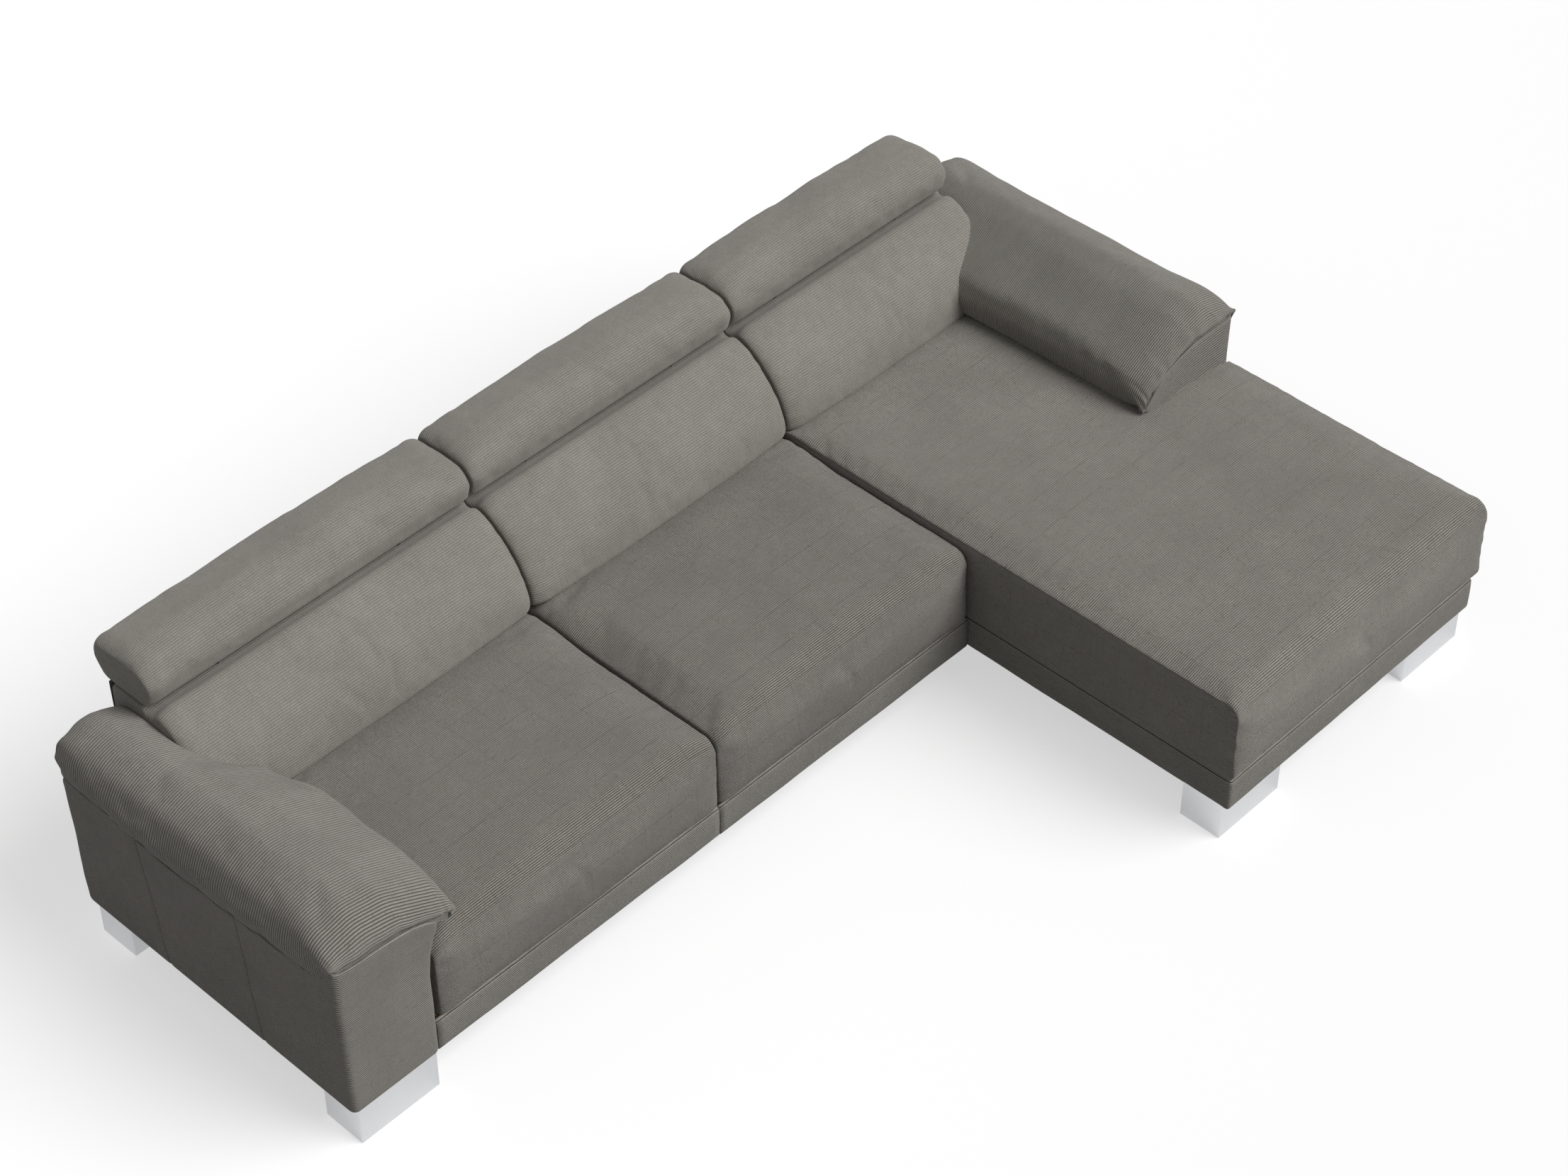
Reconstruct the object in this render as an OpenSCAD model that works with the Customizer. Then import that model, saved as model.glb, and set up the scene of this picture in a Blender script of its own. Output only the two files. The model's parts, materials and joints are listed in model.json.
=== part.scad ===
// Corner sofa: a two-seat element with a left arm, and a chaise element with a right arm.
// Lengths are in millimetres. The pieces are placed in a plan whose x starts at the outer face
// of the left arm, whose y is 0 at the foot of the rear covers and negative towards the front,
// and whose z is 0 on the floor. The module plan() then centres that plan on the origin.

/* [Plan] */
// Width of one seat cushion
seat_w = 821; // [600:1:950]
// Width of the chaise element, over its arm
chaise_w = 912; // [800:1:1100]
// Width of an arm's body
arm_w = 231; // [200:1:280]
// Gap between the left arm and the cushion beside it
arm_gap = 15; // [4:1:25]
// Depth of the two-seat element, from its band to the rear cover
sofa_d = 864; // [780:1:960]
// Depth of the chaise element, from its band to the rear cover
chaise_d = 1625; // [1400:1:1800]
// How far an arm's front stands before the seat band
arm_front = 6; // [0:1:20]

/* [Heights] */
// Height of the upholstery's lower edge above the floor
foot_h = 105; // [80:1:140]
// Height of the upholstered band below the cushions
band_h = 80; // [60:1:110]
// Thickness of a seat cushion at its edge
seat_t = 217; // [150:1:240]
// Rise of a seat cushion's middle above its edge
seat_crown = 22; // [0:1:40]
// Extra thickness of the chaise cushion's edge
chaise_lift = 7; // [0:1:15]
// Height of a back cushion's crest above the seat's edge
back_h = 219; // [180:1:300]
// Height of an arm body's top above the floor
arm_h = 462; // [440:1:500]

/* [Back] */
// Depth of a seat, from its band to the foot of the back cushion
seat_depth = 565; // [500:1:640]
// Depth of a back cushion's top, from its crest to its rear
back_top_d = 146; // [130:1:170]
// Roundness of a back cushion's front, 1 is a flat slope and 2 an ellipse
back_round = 1.5; // [1.3:0.05:1.9]
// Swell of a back cushion's front at the middle of its width
back_crown = 10; // [0:1:20]
// How far the rear cover leans back at its top
lean = 27; // [10:1:35]
// How far the outer back cushions reach over the arms
back_over = 70; // [40:1:90]

/* [Headrests] */
// Depth of a headrest
head_d = 190; // [170:1:210]
// Height of a headrest's edge above its underside
head_t = 84; // [70:1:100]
// Rise of a headrest's middle above its edge
head_crown = 26; // [0:1:35]
// Gap between one headrest and the next
head_gap = 4; // [3:0.5:10]
// Radius of a hinge pin
pin_r = 4; // [3:0.25:5]

/* [Arms] */
// Height of an arm pillow's crown above the arm body's top
pillow_h = 152; // [130:1:170]
// How far an arm pillow stands past the arm's outer face
pillow_out = 20; // [5:1:30]
// How far an arm pillow reaches in past the arm body
pillow_in = 94; // [60:1:110]
// Thickness of an arm's front panel
panel_t = 25; // [18:1:35]

/* [Frame] */
// Thickness of a base rail
rail_t = 25; // [20:1:32]
// Thickness of a board in the arms
board_t = 18; // [15:1:22]
// Thickness of an upholstered band
band_t = 12; // [8:1:16]
// Width of a back post
post_w = 60; // [45:1:75]
// Thickness of a back post
post_t = 34; // [28:1:40]
// Wall of padding over the foams and the arm boards
pad_t = 20; // [15:1:26]

/* [Feet] */
// Length of a chrome foot along the front
foot_w = 213; // [160:1:240]
// Depth of a chrome foot
foot_d = 110; // [90:1:130]
// Wall of a chrome foot
foot_wall = 3; // [2:0.5:5]
// Distance of a foot from the element's side
foot_inset = 11; // [0:1:20]
// Radius of a black support leg
leg_r = 25; // [20:1:30]
// Radius of the foot and arm bolts
bolt_r = 4; // [3:0.5:5]

/* [Springs] */
// Number of zigzag springs below one seat
seat_springs = 5; // [3:1:6]
// Number of zigzag springs across the chaise
chaise_springs = 12; // [8:1:14]
// Width of a spring's zigzag
spring_w = 50; // [35:1:60]
// Thickness of the spring wire
wire_t = 4; // [3:0.5:5]

/* [Hidden] */

// Clearances
slack = 0.5;
soft_gap = 1.5;
pin_play = 0.05;

// Places along the width
seat1_x = arm_w + arm_gap;
seat2_x = seat1_x + seat_w;
chaise_x = seat2_x + seat_w;
body_w = chaise_x + chaise_w;
right_arm_x = body_w - arm_w;
back_ends = [[arm_w - back_over, seat2_x], [seat2_x, chaise_x], [chaise_x, right_arm_x + back_over]];

// Heights
band_top = foot_h + band_h;
sheet_t = 1.3;
rail_z = foot_h + sheet_t + 0.2;
spring_z = band_top + 0.2;
seat_z = spring_z + wire_t + 0.8;
seat_top = seat_z + seat_t;
back_z = seat_top + chaise_lift + 1;
crest_z = seat_top + back_h;
back_foot_z = back_z + 15;

// Places along the depth, front faces first
seat_front = -sofa_d;
chaise_front = -chaise_d;
arm_y = seat_front - arm_front;
back_foot_y = seat_front + seat_depth;
back_rear_y = 18;
crest_y = back_rear_y - back_top_d;
seat_tuck = 94;
seat_rear = back_foot_y + seat_tuck;
chaise_bulge = 7;
frame_y = -40;
post_y = frame_y - post_t;

// Hinge axis of the headrests, in y and z, behind and above a back cushion's crest
axis_y = crest_y + 30;
axis_z = crest_z + 8;
under_z = axis_z - 6;
head_set = 10;
head_y = crest_y + head_set;
head_rear = head_y + head_d;
eye_r = 2 * pin_r;
pocket_r = eye_r + 3;
plate_t = 4;
// Share of a headrest's width at which its hinges stand
hinge_share = 0.22;

// Bolts
bolt_head = 5;
hole_play = 0.3;

plan_mid_x = body_w / 2;
plan_mid_y = (chaise_front - chaise_bulge + head_rear) / 2;

fabric = [0.47, 0.455, 0.42];
wood = [0.78, 0.62, 0.42];
foam = [0.93, 0.89, 0.72];
steel = [0.55, 0.56, 0.58];
black = [0.08, 0.08, 0.08];
chrome = [0.86, 0.87, 0.89];

function lerp(a, b, t) = a + (b - a) * t;
function unit(v) = v / norm(v);
function mean(points) = [for (p = points) 1] * points / len(points);
function signed(a) = a > 180 ? a - 360 : (a < -180 ? a + 360 : a);

// Points of an arc around c from angle a0 to a1
function arc(c, r, a0, a1, steps) =
    [for (i = [0 : steps]) let (a = lerp(a0, a1, i / steps)) [c.x + r * cos(a), c.y + r * sin(a)]];

// Closed outline whose corners, given as [u, v, radius], are rounded
function rounded(corners, steps) =
    [for (i = [0 : len(corners) - 1])
        let (
            n = len(corners),
            p = [corners[i].x, corners[i].y],
            q = corners[(i + n - 1) % n],
            s = corners[(i + 1) % n],
            to_last = unit([q.x, q.y] - p),
            to_next = unit([s.x, s.y] - p),
            half = acos(to_last * to_next) / 2,
            r = corners[i].z,
            c = p + unit(to_last + to_next) * r / sin(half),
            a = p + to_last * r / tan(half) - c,
            b = p + to_next * r / tan(half) - c,
            a0 = atan2(a.y, a.x)
        )
        each r == 0 ? [p] : arc(c, r, a0, a0 + signed(atan2(b.y, b.x) - a0), steps)];

// Stations along a soft piece: [place, how far the section is drawn in, share of the crown]
function stations(x0, x1, r, steps) =
    let (
        share = function (x) pow(sin(180 * (x - x0) / (x1 - x0)), 0.7),
        start = [for (a = [0, 35, 65]) [x0 + r * (1 - cos(a)), r * (1 - sin(a))]],
        middle = [for (i = [0 : steps]) [lerp(x0 + r, x1 - r, i / steps), 0]],
        end = [for (i = [2 : -1 : 0]) [x0 + x1 - start[i][0], start[i][1]]]
    )
    [for (s = concat(start, middle, end)) [s[0], s[1], share(min(max(s[0], x0 + 1), x1 - 1))]];

// Closed skin over rings of equal numbers of points. Each end is closed with a fan of faces
// around a hub, a point that sees the whole section.
module loft(rings, hubs = []) {
    n = len(rings[0]);
    m = len(rings);
    tips = len(hubs) == 2 ? hubs : [mean(rings[0]), mean(rings[m - 1])];
    sides = [for (k = [0 : m - 2], i = [0 : n - 1])
        let (j = (i + 1) % n, a = k * n + i, b = k * n + j)
        each [[a, a + n, b], [b, a + n, b + n]]];
    ends = [for (i = [0 : n - 1])
        let (j = (i + 1) % n)
        each [[m * n, i, j], [m * n + 1, (m - 1) * n + j, (m - 1) * n + i]]];
    polyhedron(concat([for (ring = rings) each ring], tips), concat(sides, ends), convexity = 6);
}

// Outline in y and z, seen from the right, drawn out from x0 to x1
module along_x(x0, x1) {
    translate([x0, 0, 0]) rotate([90, 0, 90]) linear_extrude(x1 - x0) children();
}

// Outline in x and z, seen from the front, drawn out from y0 to y1
module along_y(y0, y1) {
    translate([0, y1, 0]) rotate([90, 0, 0]) linear_extrude(y1 - y0) children();
}

// Box between two corners
module block(low, high) {
    translate(low) cube(high - low);
}

// Centres the plan on the origin
module plan() {
    translate([-plan_mid_x, -plan_mid_y, 0]) children();
}

// The same piece on the right arm as on the left one
module on_right_arm() {
    translate([body_w, 0, 0]) mirror([1, 0, 0]) children();
}

// Section of a seat cushion in y and z: flat below, crowned above, rolled at the front
seat_roll = 20;
function seat_ring(x, front, rear, top, crown, bulge, drawn) =
    let (
        y0 = front + drawn,
        y1 = rear - drawn,
        z1 = top - drawn,
        outline = concat(
            [[y0, seat_z], [y1, seat_z]],
            arc([y1 - seat_roll, z1 - seat_roll], seat_roll, 0, 90, 2),
            [for (i = [0 : 5]) [lerp(back_foot_y, y0 + seat_roll, i / 6), z1 + crown * sin(30 * i)]],
            arc([y0 + seat_roll, z1 - seat_roll], seat_roll, 90, 180, 3),
            [for (i = [1, 2]) [y0 - bulge, lerp(z1 - seat_roll, seat_z, i / 3)]]))
    [for (p = outline) [x, p.x, p.y]];

// Foam pocket in a seat cushion, and the foam that fits it
module seat_foam_block(x0, x1, front, rear, top, play) {
    block([x0 + pad_t - play, front + pad_t - play, seat_z - (play > 0 ? 1 : 0)],
        [x1 - pad_t + play, rear - pad_t + play, top - pad_t + play]);
}

seat_end_r = 25;
module seat_cushion(x0) {
    difference() {
        loft([for (s = stations(x0 + soft_gap, x0 + seat_w - soft_gap, seat_end_r, 6))
            seat_ring(s[0], seat_front, seat_rear, seat_top, seat_crown * s[2], 5 * s[2], s[1])]);
        seat_foam_block(x0, x0 + seat_w, seat_front, seat_rear, seat_top, slack);
    }
}

module seat_foam(x0) {
    seat_foam_block(x0, x0 + seat_w, seat_front, seat_rear, seat_top, 0);
}

// Chaise cushion, with a corner left out for the right arm
chaise_over = 12;
chaise_top = seat_top + chaise_lift;
chaise_foam_step = 40;
notch_gap = arm_gap + 4;
module chaise_cushion_shape() {
    difference() {
        loft([for (s = stations(chaise_x + soft_gap, body_w + chaise_over, seat_end_r, 8))
            seat_ring(s[0], chaise_front, seat_rear, chaise_top, 14 * s[2], chaise_bulge * s[2], s[1])]);
        block([right_arm_x - notch_gap, arm_y - slack, 0],
            [body_w + 2 * chaise_over, 0, chaise_top + seat_t]);
        chaise_foams(slack);
    }
}

// Foam of the chaise: a front block, and a narrower one beside the arm
module chaise_foams(play) {
    seat_foam_block(chaise_x, body_w, chaise_front, arm_y - chaise_foam_step, chaise_top, play);
    seat_foam_block(chaise_x, right_arm_x - notch_gap, arm_y - chaise_foam_step - 2 * pad_t, seat_rear,
        chaise_top, play);
}

// Section of a back cushion in y and z
groove = 12;
back_lid_z = crest_z - 4;
function back_ring(x, crown, drawn) =
    let (
        deep = crest_y - back_foot_y - drawn + crown,
        high = crest_z - back_foot_z - drawn,
        outline = concat(
            [[back_foot_y + drawn + 8, back_z], [back_rear_y - 8, back_z],
             [back_rear_y, back_lid_z - 8 - drawn], [back_rear_y - 6, back_lid_z - drawn],
             [axis_y + 32, back_lid_z - drawn], [axis_y + 18, back_lid_z - 4 - drawn],
             [axis_y + 6, crest_z - groove - drawn], [axis_y - 12, crest_z - groove - drawn],
             [axis_y - 20, crest_z - 5 - drawn]],
            [for (a = [90 : -11.25 : 0])
                [crest_y - deep * pow(cos(a), 2 / back_round),
                 back_foot_z + high * pow(sin(a), 2 / back_round)]]))
    [for (p = outline) [x, p.x, p.y]];

// Ends of the space between the arms that one back takes, drawn in by an inset
function back_inside(i, inset) =
    [max(back_ends[i][0], seat1_x) + inset, min(back_ends[i][1], right_arm_x - arm_gap) - inset];

// Room behind and below a back cushion's padding, for the foam, posts and top rail
pad_front = 30;
post_clear = 3;
room_front = post_y - post_clear;
top_rail_t = 35;
top_rail_z = back_lid_z - pad_t - 4 - top_rail_t;
function back_room(play) =
    let (
        deep = crest_y - back_foot_y - pad_front + play,
        high = crest_z - back_foot_z - pad_front + play,
        top = top_rail_z + top_rail_t)
    concat([[room_front, back_z - play], [back_foot_y + pad_front - play, back_z - play]],
        [for (a = [0 : 15 : 75])
            [crest_y - deep * pow(cos(a), 2 / back_round),
             back_foot_z + high * pow(sin(a), 2 / back_round)]],
        [[room_front, top]]);

module back_cushion(i) {
    x0 = back_ends[i][0] + soft_gap;
    x1 = back_ends[i][1] - soft_gap;
    difference() {
        loft([for (s = stations(x0, x1, 22, 6)) back_ring(s[0], back_crown * s[2], s[1])]);
        along_x(x0 + pad_t, x1 - pad_t) union() {
            polygon(back_room(slack));
            polygon([[room_front - slack, back_z - slack], [back_rear_y + 20, back_z - slack],
                [back_rear_y + 20, top_rail_z + top_rail_t + slack],
                [room_front - slack, top_rail_z + top_rail_t + slack]]);
        }
        bracket_rooms(i);
        if (i == 0) arm_notch();
        if (i == 2) on_right_arm() arm_notch();
    }
}

// Room for the hinge brackets, in front of the top rail
module bracket_rooms(i) {
    for (x = hinge_places(i))
        block([x - hinge_room, axis_y - pocket_r, top_rail_z - 22],
            [x + hinge_room, post_y + 1, crest_z + 20]);
}

// Foot of an outer back cushion, cut away over the arm body
module arm_notch() {
    block([0, back_foot_y - pad_t, 0], [arm_w + arm_flare + soft_gap, post_w, arm_h + soft_gap]);
}

module back_foam(i) {
    x = back_inside(i, pad_t + soft_gap + 10);
    difference() {
        along_x(x[0], x[1]) polygon(back_room(0));
        bracket_rooms(i);
    }
}

// Rear cover, leaning back, drawn out between two places
rear_t = 5;
module rear_sheet(x0, x1, z0, z1) {
    rise = crest_z - 8 - foot_h;
    intersection() {
        along_x(x0, x1)
            polygon([[0, foot_h], [lean, foot_h + rise], [lean - rear_t, foot_h + rise], [-rear_t, foot_h]]);
        block([x0, -2 * lean, z0], [x1, 2 * lean, z1]);
    }
}

// Headrest section in y and z: boxed, rounded at the front and the back
function head_ring(x, crown, drawn) =
    [for (p = rounded([
            [head_y + 6 + drawn, under_z + 8, 6],
            [axis_y, under_z, 10],
            [head_rear - 45, under_z, 20],
            [head_rear - 12 - drawn, under_z + 12, 10],
            [head_rear - drawn, under_z + 40, 14],
            [head_rear - drawn, under_z + head_t - 4 + 0.3 * crown - drawn, 14],
            [lerp(head_y, head_rear, 0.5), under_z + head_t + 2 + crown - drawn, 60],
            [head_y + 28 + drawn, under_z + head_t + 0.6 * crown - drawn, 25],
            [head_y - 2 + drawn, under_z + 0.55 * head_t, 25]], 2)) [x, p.x, p.y]];

board_z = under_z + 38;
board_end = 40;
head_board_t = 12;
head_board_y = [axis_y + 30, head_rear - board_end];
tongue_y = head_board_y[1] - 30;
module headrest_cushion(i) {
    x0 = back_ends[i][0] + head_gap / 2;
    x1 = back_ends[i][1] - head_gap / 2;
    difference() {
        loft([for (s = stations(x0, x1, 12, 6)) head_ring(s[0], head_crown * s[2], s[1])]);
        block([x0 + board_end - slack, head_board_y[0] - slack, board_z - slack],
            [x1 - board_end + slack, head_board_y[1] + slack, board_z + head_board_t + slack]);
        for (x = hinge_places(i)) {
            translate([x - hinge_room, axis_y, axis_z]) rotate([0, 90, 0])
                cylinder(h = 2 * hinge_room, r = pocket_r, $fn = 32);
            block([x - hinge_room, axis_y, under_z - 20], [x + hinge_room, tongue_y + 10, board_z]);
        }
    }
}

module headrest_board(i) {
    block([back_ends[i][0] + head_gap / 2 + board_end, head_board_y[0], board_z],
        [back_ends[i][1] - head_gap / 2 - board_end, head_board_y[1], board_z + head_board_t]);
}

// Places of a headrest's two hinges along the width
hinge_room = plate_t + 4;
function hinge_places(i) =
    [for (t = [hinge_share, 1 - hinge_share]) lerp(back_ends[i][0], back_ends[i][1], t)];

// Moving arm: an eye round the pin, and a tongue that carries the board
module hinge_arm() {
    tongue = [[axis_y, axis_z - 6], [axis_y + 28, under_z + 10], [tongue_y, board_z - 18],
        [tongue_y, board_z], [axis_y + 24, board_z], [axis_y - 2, axis_z + 7]];
    translate([slack / 2, 0, 0]) difference() {
        union() {
            along_x(0, plate_t) polygon(tongue);
            translate([0, axis_y, axis_z]) rotate([0, 90, 0]) cylinder(h = plate_t, r = eye_r, $fn = 32);
        }
        translate([-1, axis_y, axis_z]) rotate([0, 90, 0])
            cylinder(h = plate_t + 2, r = pin_r + pin_play, $fn = 32);
    }
}

module headrest_arms(i) {
    for (x = hinge_places(i)) translate([x, 0, 0]) hinge_arm();
}

// Fixed bracket: an eye, and a stem fixed to the front of the top rail
module hinge_bracket() {
    foot_z = top_rail_z - 18;
    translate([-slack / 2 - plate_t, 0, 0]) difference() {
        union() {
            along_x(0, plate_t) polygon([[axis_y - 6, axis_z - 3], [axis_y + 4, axis_z - 22],
                [axis_y + 4, foot_z], [post_y, foot_z], [post_y, top_rail_z + top_rail_t],
                [axis_y + 7, axis_z]]);
            translate([0, axis_y, axis_z]) rotate([0, 90, 0]) cylinder(h = plate_t, r = eye_r, $fn = 32);
        }
        translate([-1, axis_y, axis_z]) rotate([0, 90, 0])
            cylinder(h = plate_t + 2, r = pin_r + pin_play, $fn = 32);
    }
}

module hinge_pin() {
    translate([-slack / 2 - plate_t - 1, axis_y, axis_z]) rotate([0, 90, 0])
        cylinder(h = 2 * plate_t + slack + 2, r = pin_r, $fn = 32);
}

// Arm body: outline in x and z, waisted on its inner side and flared at the top
arm_flare = 31;
arm_waist = 50;
function arm_outline(top) = rounded([
    [0, foot_h, 0], [arm_w + 2, foot_h, 0],
    [arm_w, lerp(foot_h, arm_h, 0.63), 60],
    [arm_w + 7, arm_h - arm_waist, 60],
    [arm_w + arm_flare, arm_h, 0],
    [0, top, 0],
    [-6, lerp(foot_h, arm_h, 0.7), 80]], 3);

arm_back = -board_t / 3;
module arm_cover() {
    difference() {
        along_y(arm_y + panel_t, arm_back) polygon(arm_outline(arm_h));
        block([pad_t, arm_y + panel_t - 1, 0], [arm_w - pad_t, arm_back - pad_t / 2, arm_h - pad_t]);
        arm_bolt_holes();
    }
}

// Boards of an arm: outer, inner, front, back and top
module arm_boards() {
    x = [pad_t + slack, arm_w - pad_t - slack];
    y = [arm_y + panel_t + slack, arm_back - pad_t / 2 - slack];
    z1 = arm_h - pad_t - slack;
    block([x[0], y[0], rail_z], [x[0] + board_t, y[1], z1 - board_t]);
    difference() {
        block([x[1] - board_t, y[0], rail_z], [x[1], y[1], z1 - board_t]);
        arm_bolt_holes();
    }
    for (yy = [y[0], y[1] - board_t])
        block([x[0] + board_t, yy, rail_z], [x[1] - board_t, yy + board_t, z1 - board_t]);
    block([x[0], y[0], z1 - board_t], [x[1], y[1], z1]);
}

// Upright front panel, whose top follows the pillow's seam
panel_rise = 58;
panel_top = [for (t = [0.85, 0.6, 0.3, 0])
    [lerp(-10, arm_w + arm_flare, t), arm_h + 20 + panel_rise * cos(90 * pow(t, 1.6))]];
waist_r = 61;
module panel_shape() {
    polygon(concat(
        [[-4, foot_h], [arm_w + 2, foot_h]],
        arc([arm_w + waist_r, lerp(foot_h, arm_h, 0.63)], waist_r, 200, 160, 3),
        [[arm_w + 7, arm_h - arm_waist], [arm_w + arm_flare, arm_h + 4],
         [arm_w + arm_flare - 2, arm_h + 20]],
        panel_top));
}

// Room that a pillow leaves for the front panel
module panel_room() {
    x = arm_w + arm_flare + soft_gap + 1;
    up = [0, slack + 0.1];
    polygon(concat([[-60, foot_h], [x, foot_h], [x, arm_h + 20 + up.y]],
        [for (p = panel_top) p + up], [[-60, panel_top[3].y + up.y]]));
}

module arm_front_panel() {
    along_y(arm_y, arm_y + panel_t - slack) panel_shape();
}

// Arm pillow: outline in x and z, seen from the front
function pillow_ring(y, lip_z, crown, drawn) =
    let (
        in_x = arm_w + pillow_in,
        z0 = arm_h + 2)
    [for (p = rounded([
            [-2, z0, 0], [arm_w + arm_flare + soft_gap, z0, 0],
            [in_x - 22, lip_z, 9],
            [in_x - drawn, lip_z + 34, 18],
            [arm_w + 30, z0 + 42 - 0.3 * drawn, 55],
            [0.72 * arm_w, z0 + pillow_h - 28 + crown - drawn, 90],
            [0.35 * arm_w, z0 + pillow_h + crown - drawn, 60],
            [-0.03 * arm_w, z0 + pillow_h - 20 + crown - drawn, 45 - drawn],
            [-pillow_out - 4 + 0.6 * drawn, z0 + 0.52 * pillow_h, 30]], 2)) [p.x, y, p.y]];

pillow_press = 0.8 * back_crown;
pillow_ys = [arm_y - 8, 2];
module arm_pillow(lip_z) {
    difference() {
        loft([for (s = stations(pillow_ys[0], pillow_ys[1], 20, 6))
            pillow_ring(pillow_ys[0] + pillow_ys[1] - s[0], lip_z, 6 * s[2], s[1])],
            [for (y = [pillow_ys[1], pillow_ys[0]])
                [0.87 * arm_w, y, arm_h + 29 + 1.2 * (arm_h - lip_z)]]);
        along_y(arm_y - 60, arm_y + panel_t + slack) panel_room();
        along_x(arm_w - back_over, arm_w + 2 * pillow_in)
            polygon(concat([[100, 0]], [for (a = [0 : 11.25 : 90])
                [crest_y - (crest_y - back_foot_y + pillow_press) * pow(cos(a), 2 / back_round),
                 back_foot_z + (crest_z - back_foot_z + 2) * pow(sin(a), 2 / back_round)]],
                [[100, crest_z + 2]], [[100, 0]]));
    }
}

// Bolts that hold an arm's inner board to the rail beside it
arm_bolt_ys = [seat_front + 160, -170];
arm_bolt_z = rail_z + 38;
module arm_bolt_holes() {
    for (y = arm_bolt_ys) translate([0, y, arm_bolt_z]) rotate([0, 90, 0])
        translate([0, 0, arm_w - pad_t - board_t - 10])
            cylinder(h = pad_t + board_t + arm_gap + rail_t + 40, r = bolt_r + hole_play, $fn = 24);
}

module arm_bolt_set() {
    start = arm_w - pad_t - slack - board_t - bolt_head;
    length = bolt_head + board_t + slack + pad_t + arm_gap + rail_t + 6;
    for (y = arm_bolt_ys) translate([start, y, arm_bolt_z]) rotate([0, 90, 0]) {
        cylinder(h = bolt_head, r = 2 * bolt_r, $fn = 24);
        cylinder(h = length, r = bolt_r, $fn = 24);
    }
}

// Chrome feet: left front corner, and how far the bolts stand behind the middle
bolt_back = 10;
foot_rear_y = -20 - foot_d;
foot_chaise_y = chaise_front + 15;
foot_right_x = body_w - foot_inset - foot_w;
feet = [
    [foot_inset, seat_front - 1, bolt_back],
    [foot_inset, foot_rear_y, -bolt_back],
    [chaise_x + 3, foot_chaise_y, bolt_back],
    [foot_right_x, foot_chaise_y, bolt_back],
    [foot_right_x, foot_rear_y, -bolt_back]];
foot_plate_t = 4;
foot_lift = 1.5;
bolt_apart = 45;

module at_bolts(f) {
    for (side = [-1, 1])
        translate([f[0] + foot_w / 2 + side * bolt_apart, f[1] + foot_d / 2 + f[2], 0]) children();
}

module foot(f) {
    difference() {
        block([f[0], f[1], foot_lift], [f[0] + foot_w, f[1] + foot_d, foot_h]);
        block([f[0] + foot_wall, f[1] + foot_wall, 0],
            [f[0] + foot_w - foot_wall, f[1] + foot_d - foot_wall, foot_h - foot_plate_t]);
        at_bolts(f) cylinder(h = foot_h + 10, r = bolt_r + hole_play, $fn = 24);
    }
}

module glide(f) {
    edge = foot_wall + slack / 2;
    block([f[0] + edge, f[1] + edge, 0], [f[0] + foot_w - edge, f[1] + foot_d - edge, 10]);
}

// Wooden block over each foot, held between the boards or rails around it, and its bolts
block_h = 45;
bolt_bite = 30;
module foot_block(f, low, high) {
    difference() {
        block([low.x, low.y, foot_h], [high.x, high.y, foot_h + block_h]);
        at_bolts(f) cylinder(h = foot_h + block_h + 10, r = bolt_r + pin_play, $fn = 24);
    }
}

module foot_bolt(f) {
    at_bolts(f) translate([0, 0, foot_h - foot_plate_t - bolt_head]) {
        cylinder(h = bolt_head, r = 2 * bolt_r, $fn = 24);
        cylinder(h = bolt_head + foot_plate_t + bolt_bite, r = bolt_r, $fn = 24);
    }
}

// Support legs below the rails
leg_front_y = seat_front + 120;
leg_rear_y = -95;
leg_sofa_x = chaise_x - rail_t - leg_r / 2;
legs = [
    [seat2_x, leg_front_y],
    [seat2_x, leg_rear_y],
    [leg_sofa_x, leg_front_y],
    [leg_sofa_x, leg_rear_y],
    [chaise_x + rail_t + leg_r + 5, leg_rear_y]];

// Zigzag spring along x, from x0 to x1, as a flat wire
module zigzag(x0, x1, turns) {
    step = (x1 - x0) / turns;
    path = concat([[x0, 0]],
        [for (i = [0 : turns - 1]) [x0 + step * (i + 0.5), (i % 2 == 0 ? 1 : -1) * (spring_w - wire_t) / 2]],
        [[x1, 0]]);
    n = len(path);
    linear_extrude(wire_t) polygon(concat(
        [for (i = [0 : n - 1]) path[i] + [0, wire_t * 0.9]],
        [for (i = [n - 1 : -1 : 0]) path[i] - [0, wire_t * 0.9]]));
}

spring_turns = 10;
module seat_spring_set(x0) {
    edge = 2 * pad_t + post_w + spring_w / 2 + 10;
    for (i = [0 : seat_springs - 1])
        translate([lerp(x0 + edge, x0 + seat_w - edge, i / (seat_springs - 1)), 0, spring_z])
            rotate([0, 0, 90]) zigzag(seat_front + band_t + 6, frame_y + 8, spring_turns);
}

// Rails: plain planks on edge
module plank(low, high) {
    block([low.x, low.y, rail_z], [high.x, high.y, band_top]);
}

rail_front = seat_front + band_t + slack;
chaise_rail_front = chaise_front + band_t + slack;
chaise_rail_left = chaise_x + 2 + band_t + slack;
chaise_rail_right = body_w - band_t - slack;
chaise_inner_rail = right_arm_x - soft_gap - slack;
chaise_back_y = arm_y - 5;
chaise_side_x = chaise_rail_left + rail_t;
rear_rail_y = -rear_t - 0.3;

module band(x0, x1, y0, y1) {
    block([x0, y0, foot_h], [x1, y1, seat_z - slack]);
}

// Sub-parts
module sofa_front_rail() {
    color(wood) plan() plank([seat1_x + 2, rail_front], [chaise_x - 2, rail_front + rail_t]);
}

module sofa_rear_rail() {
    color(wood) plan() plank([seat1_x + 2, frame_y], [chaise_x - 2, rear_rail_y]);
}

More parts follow.
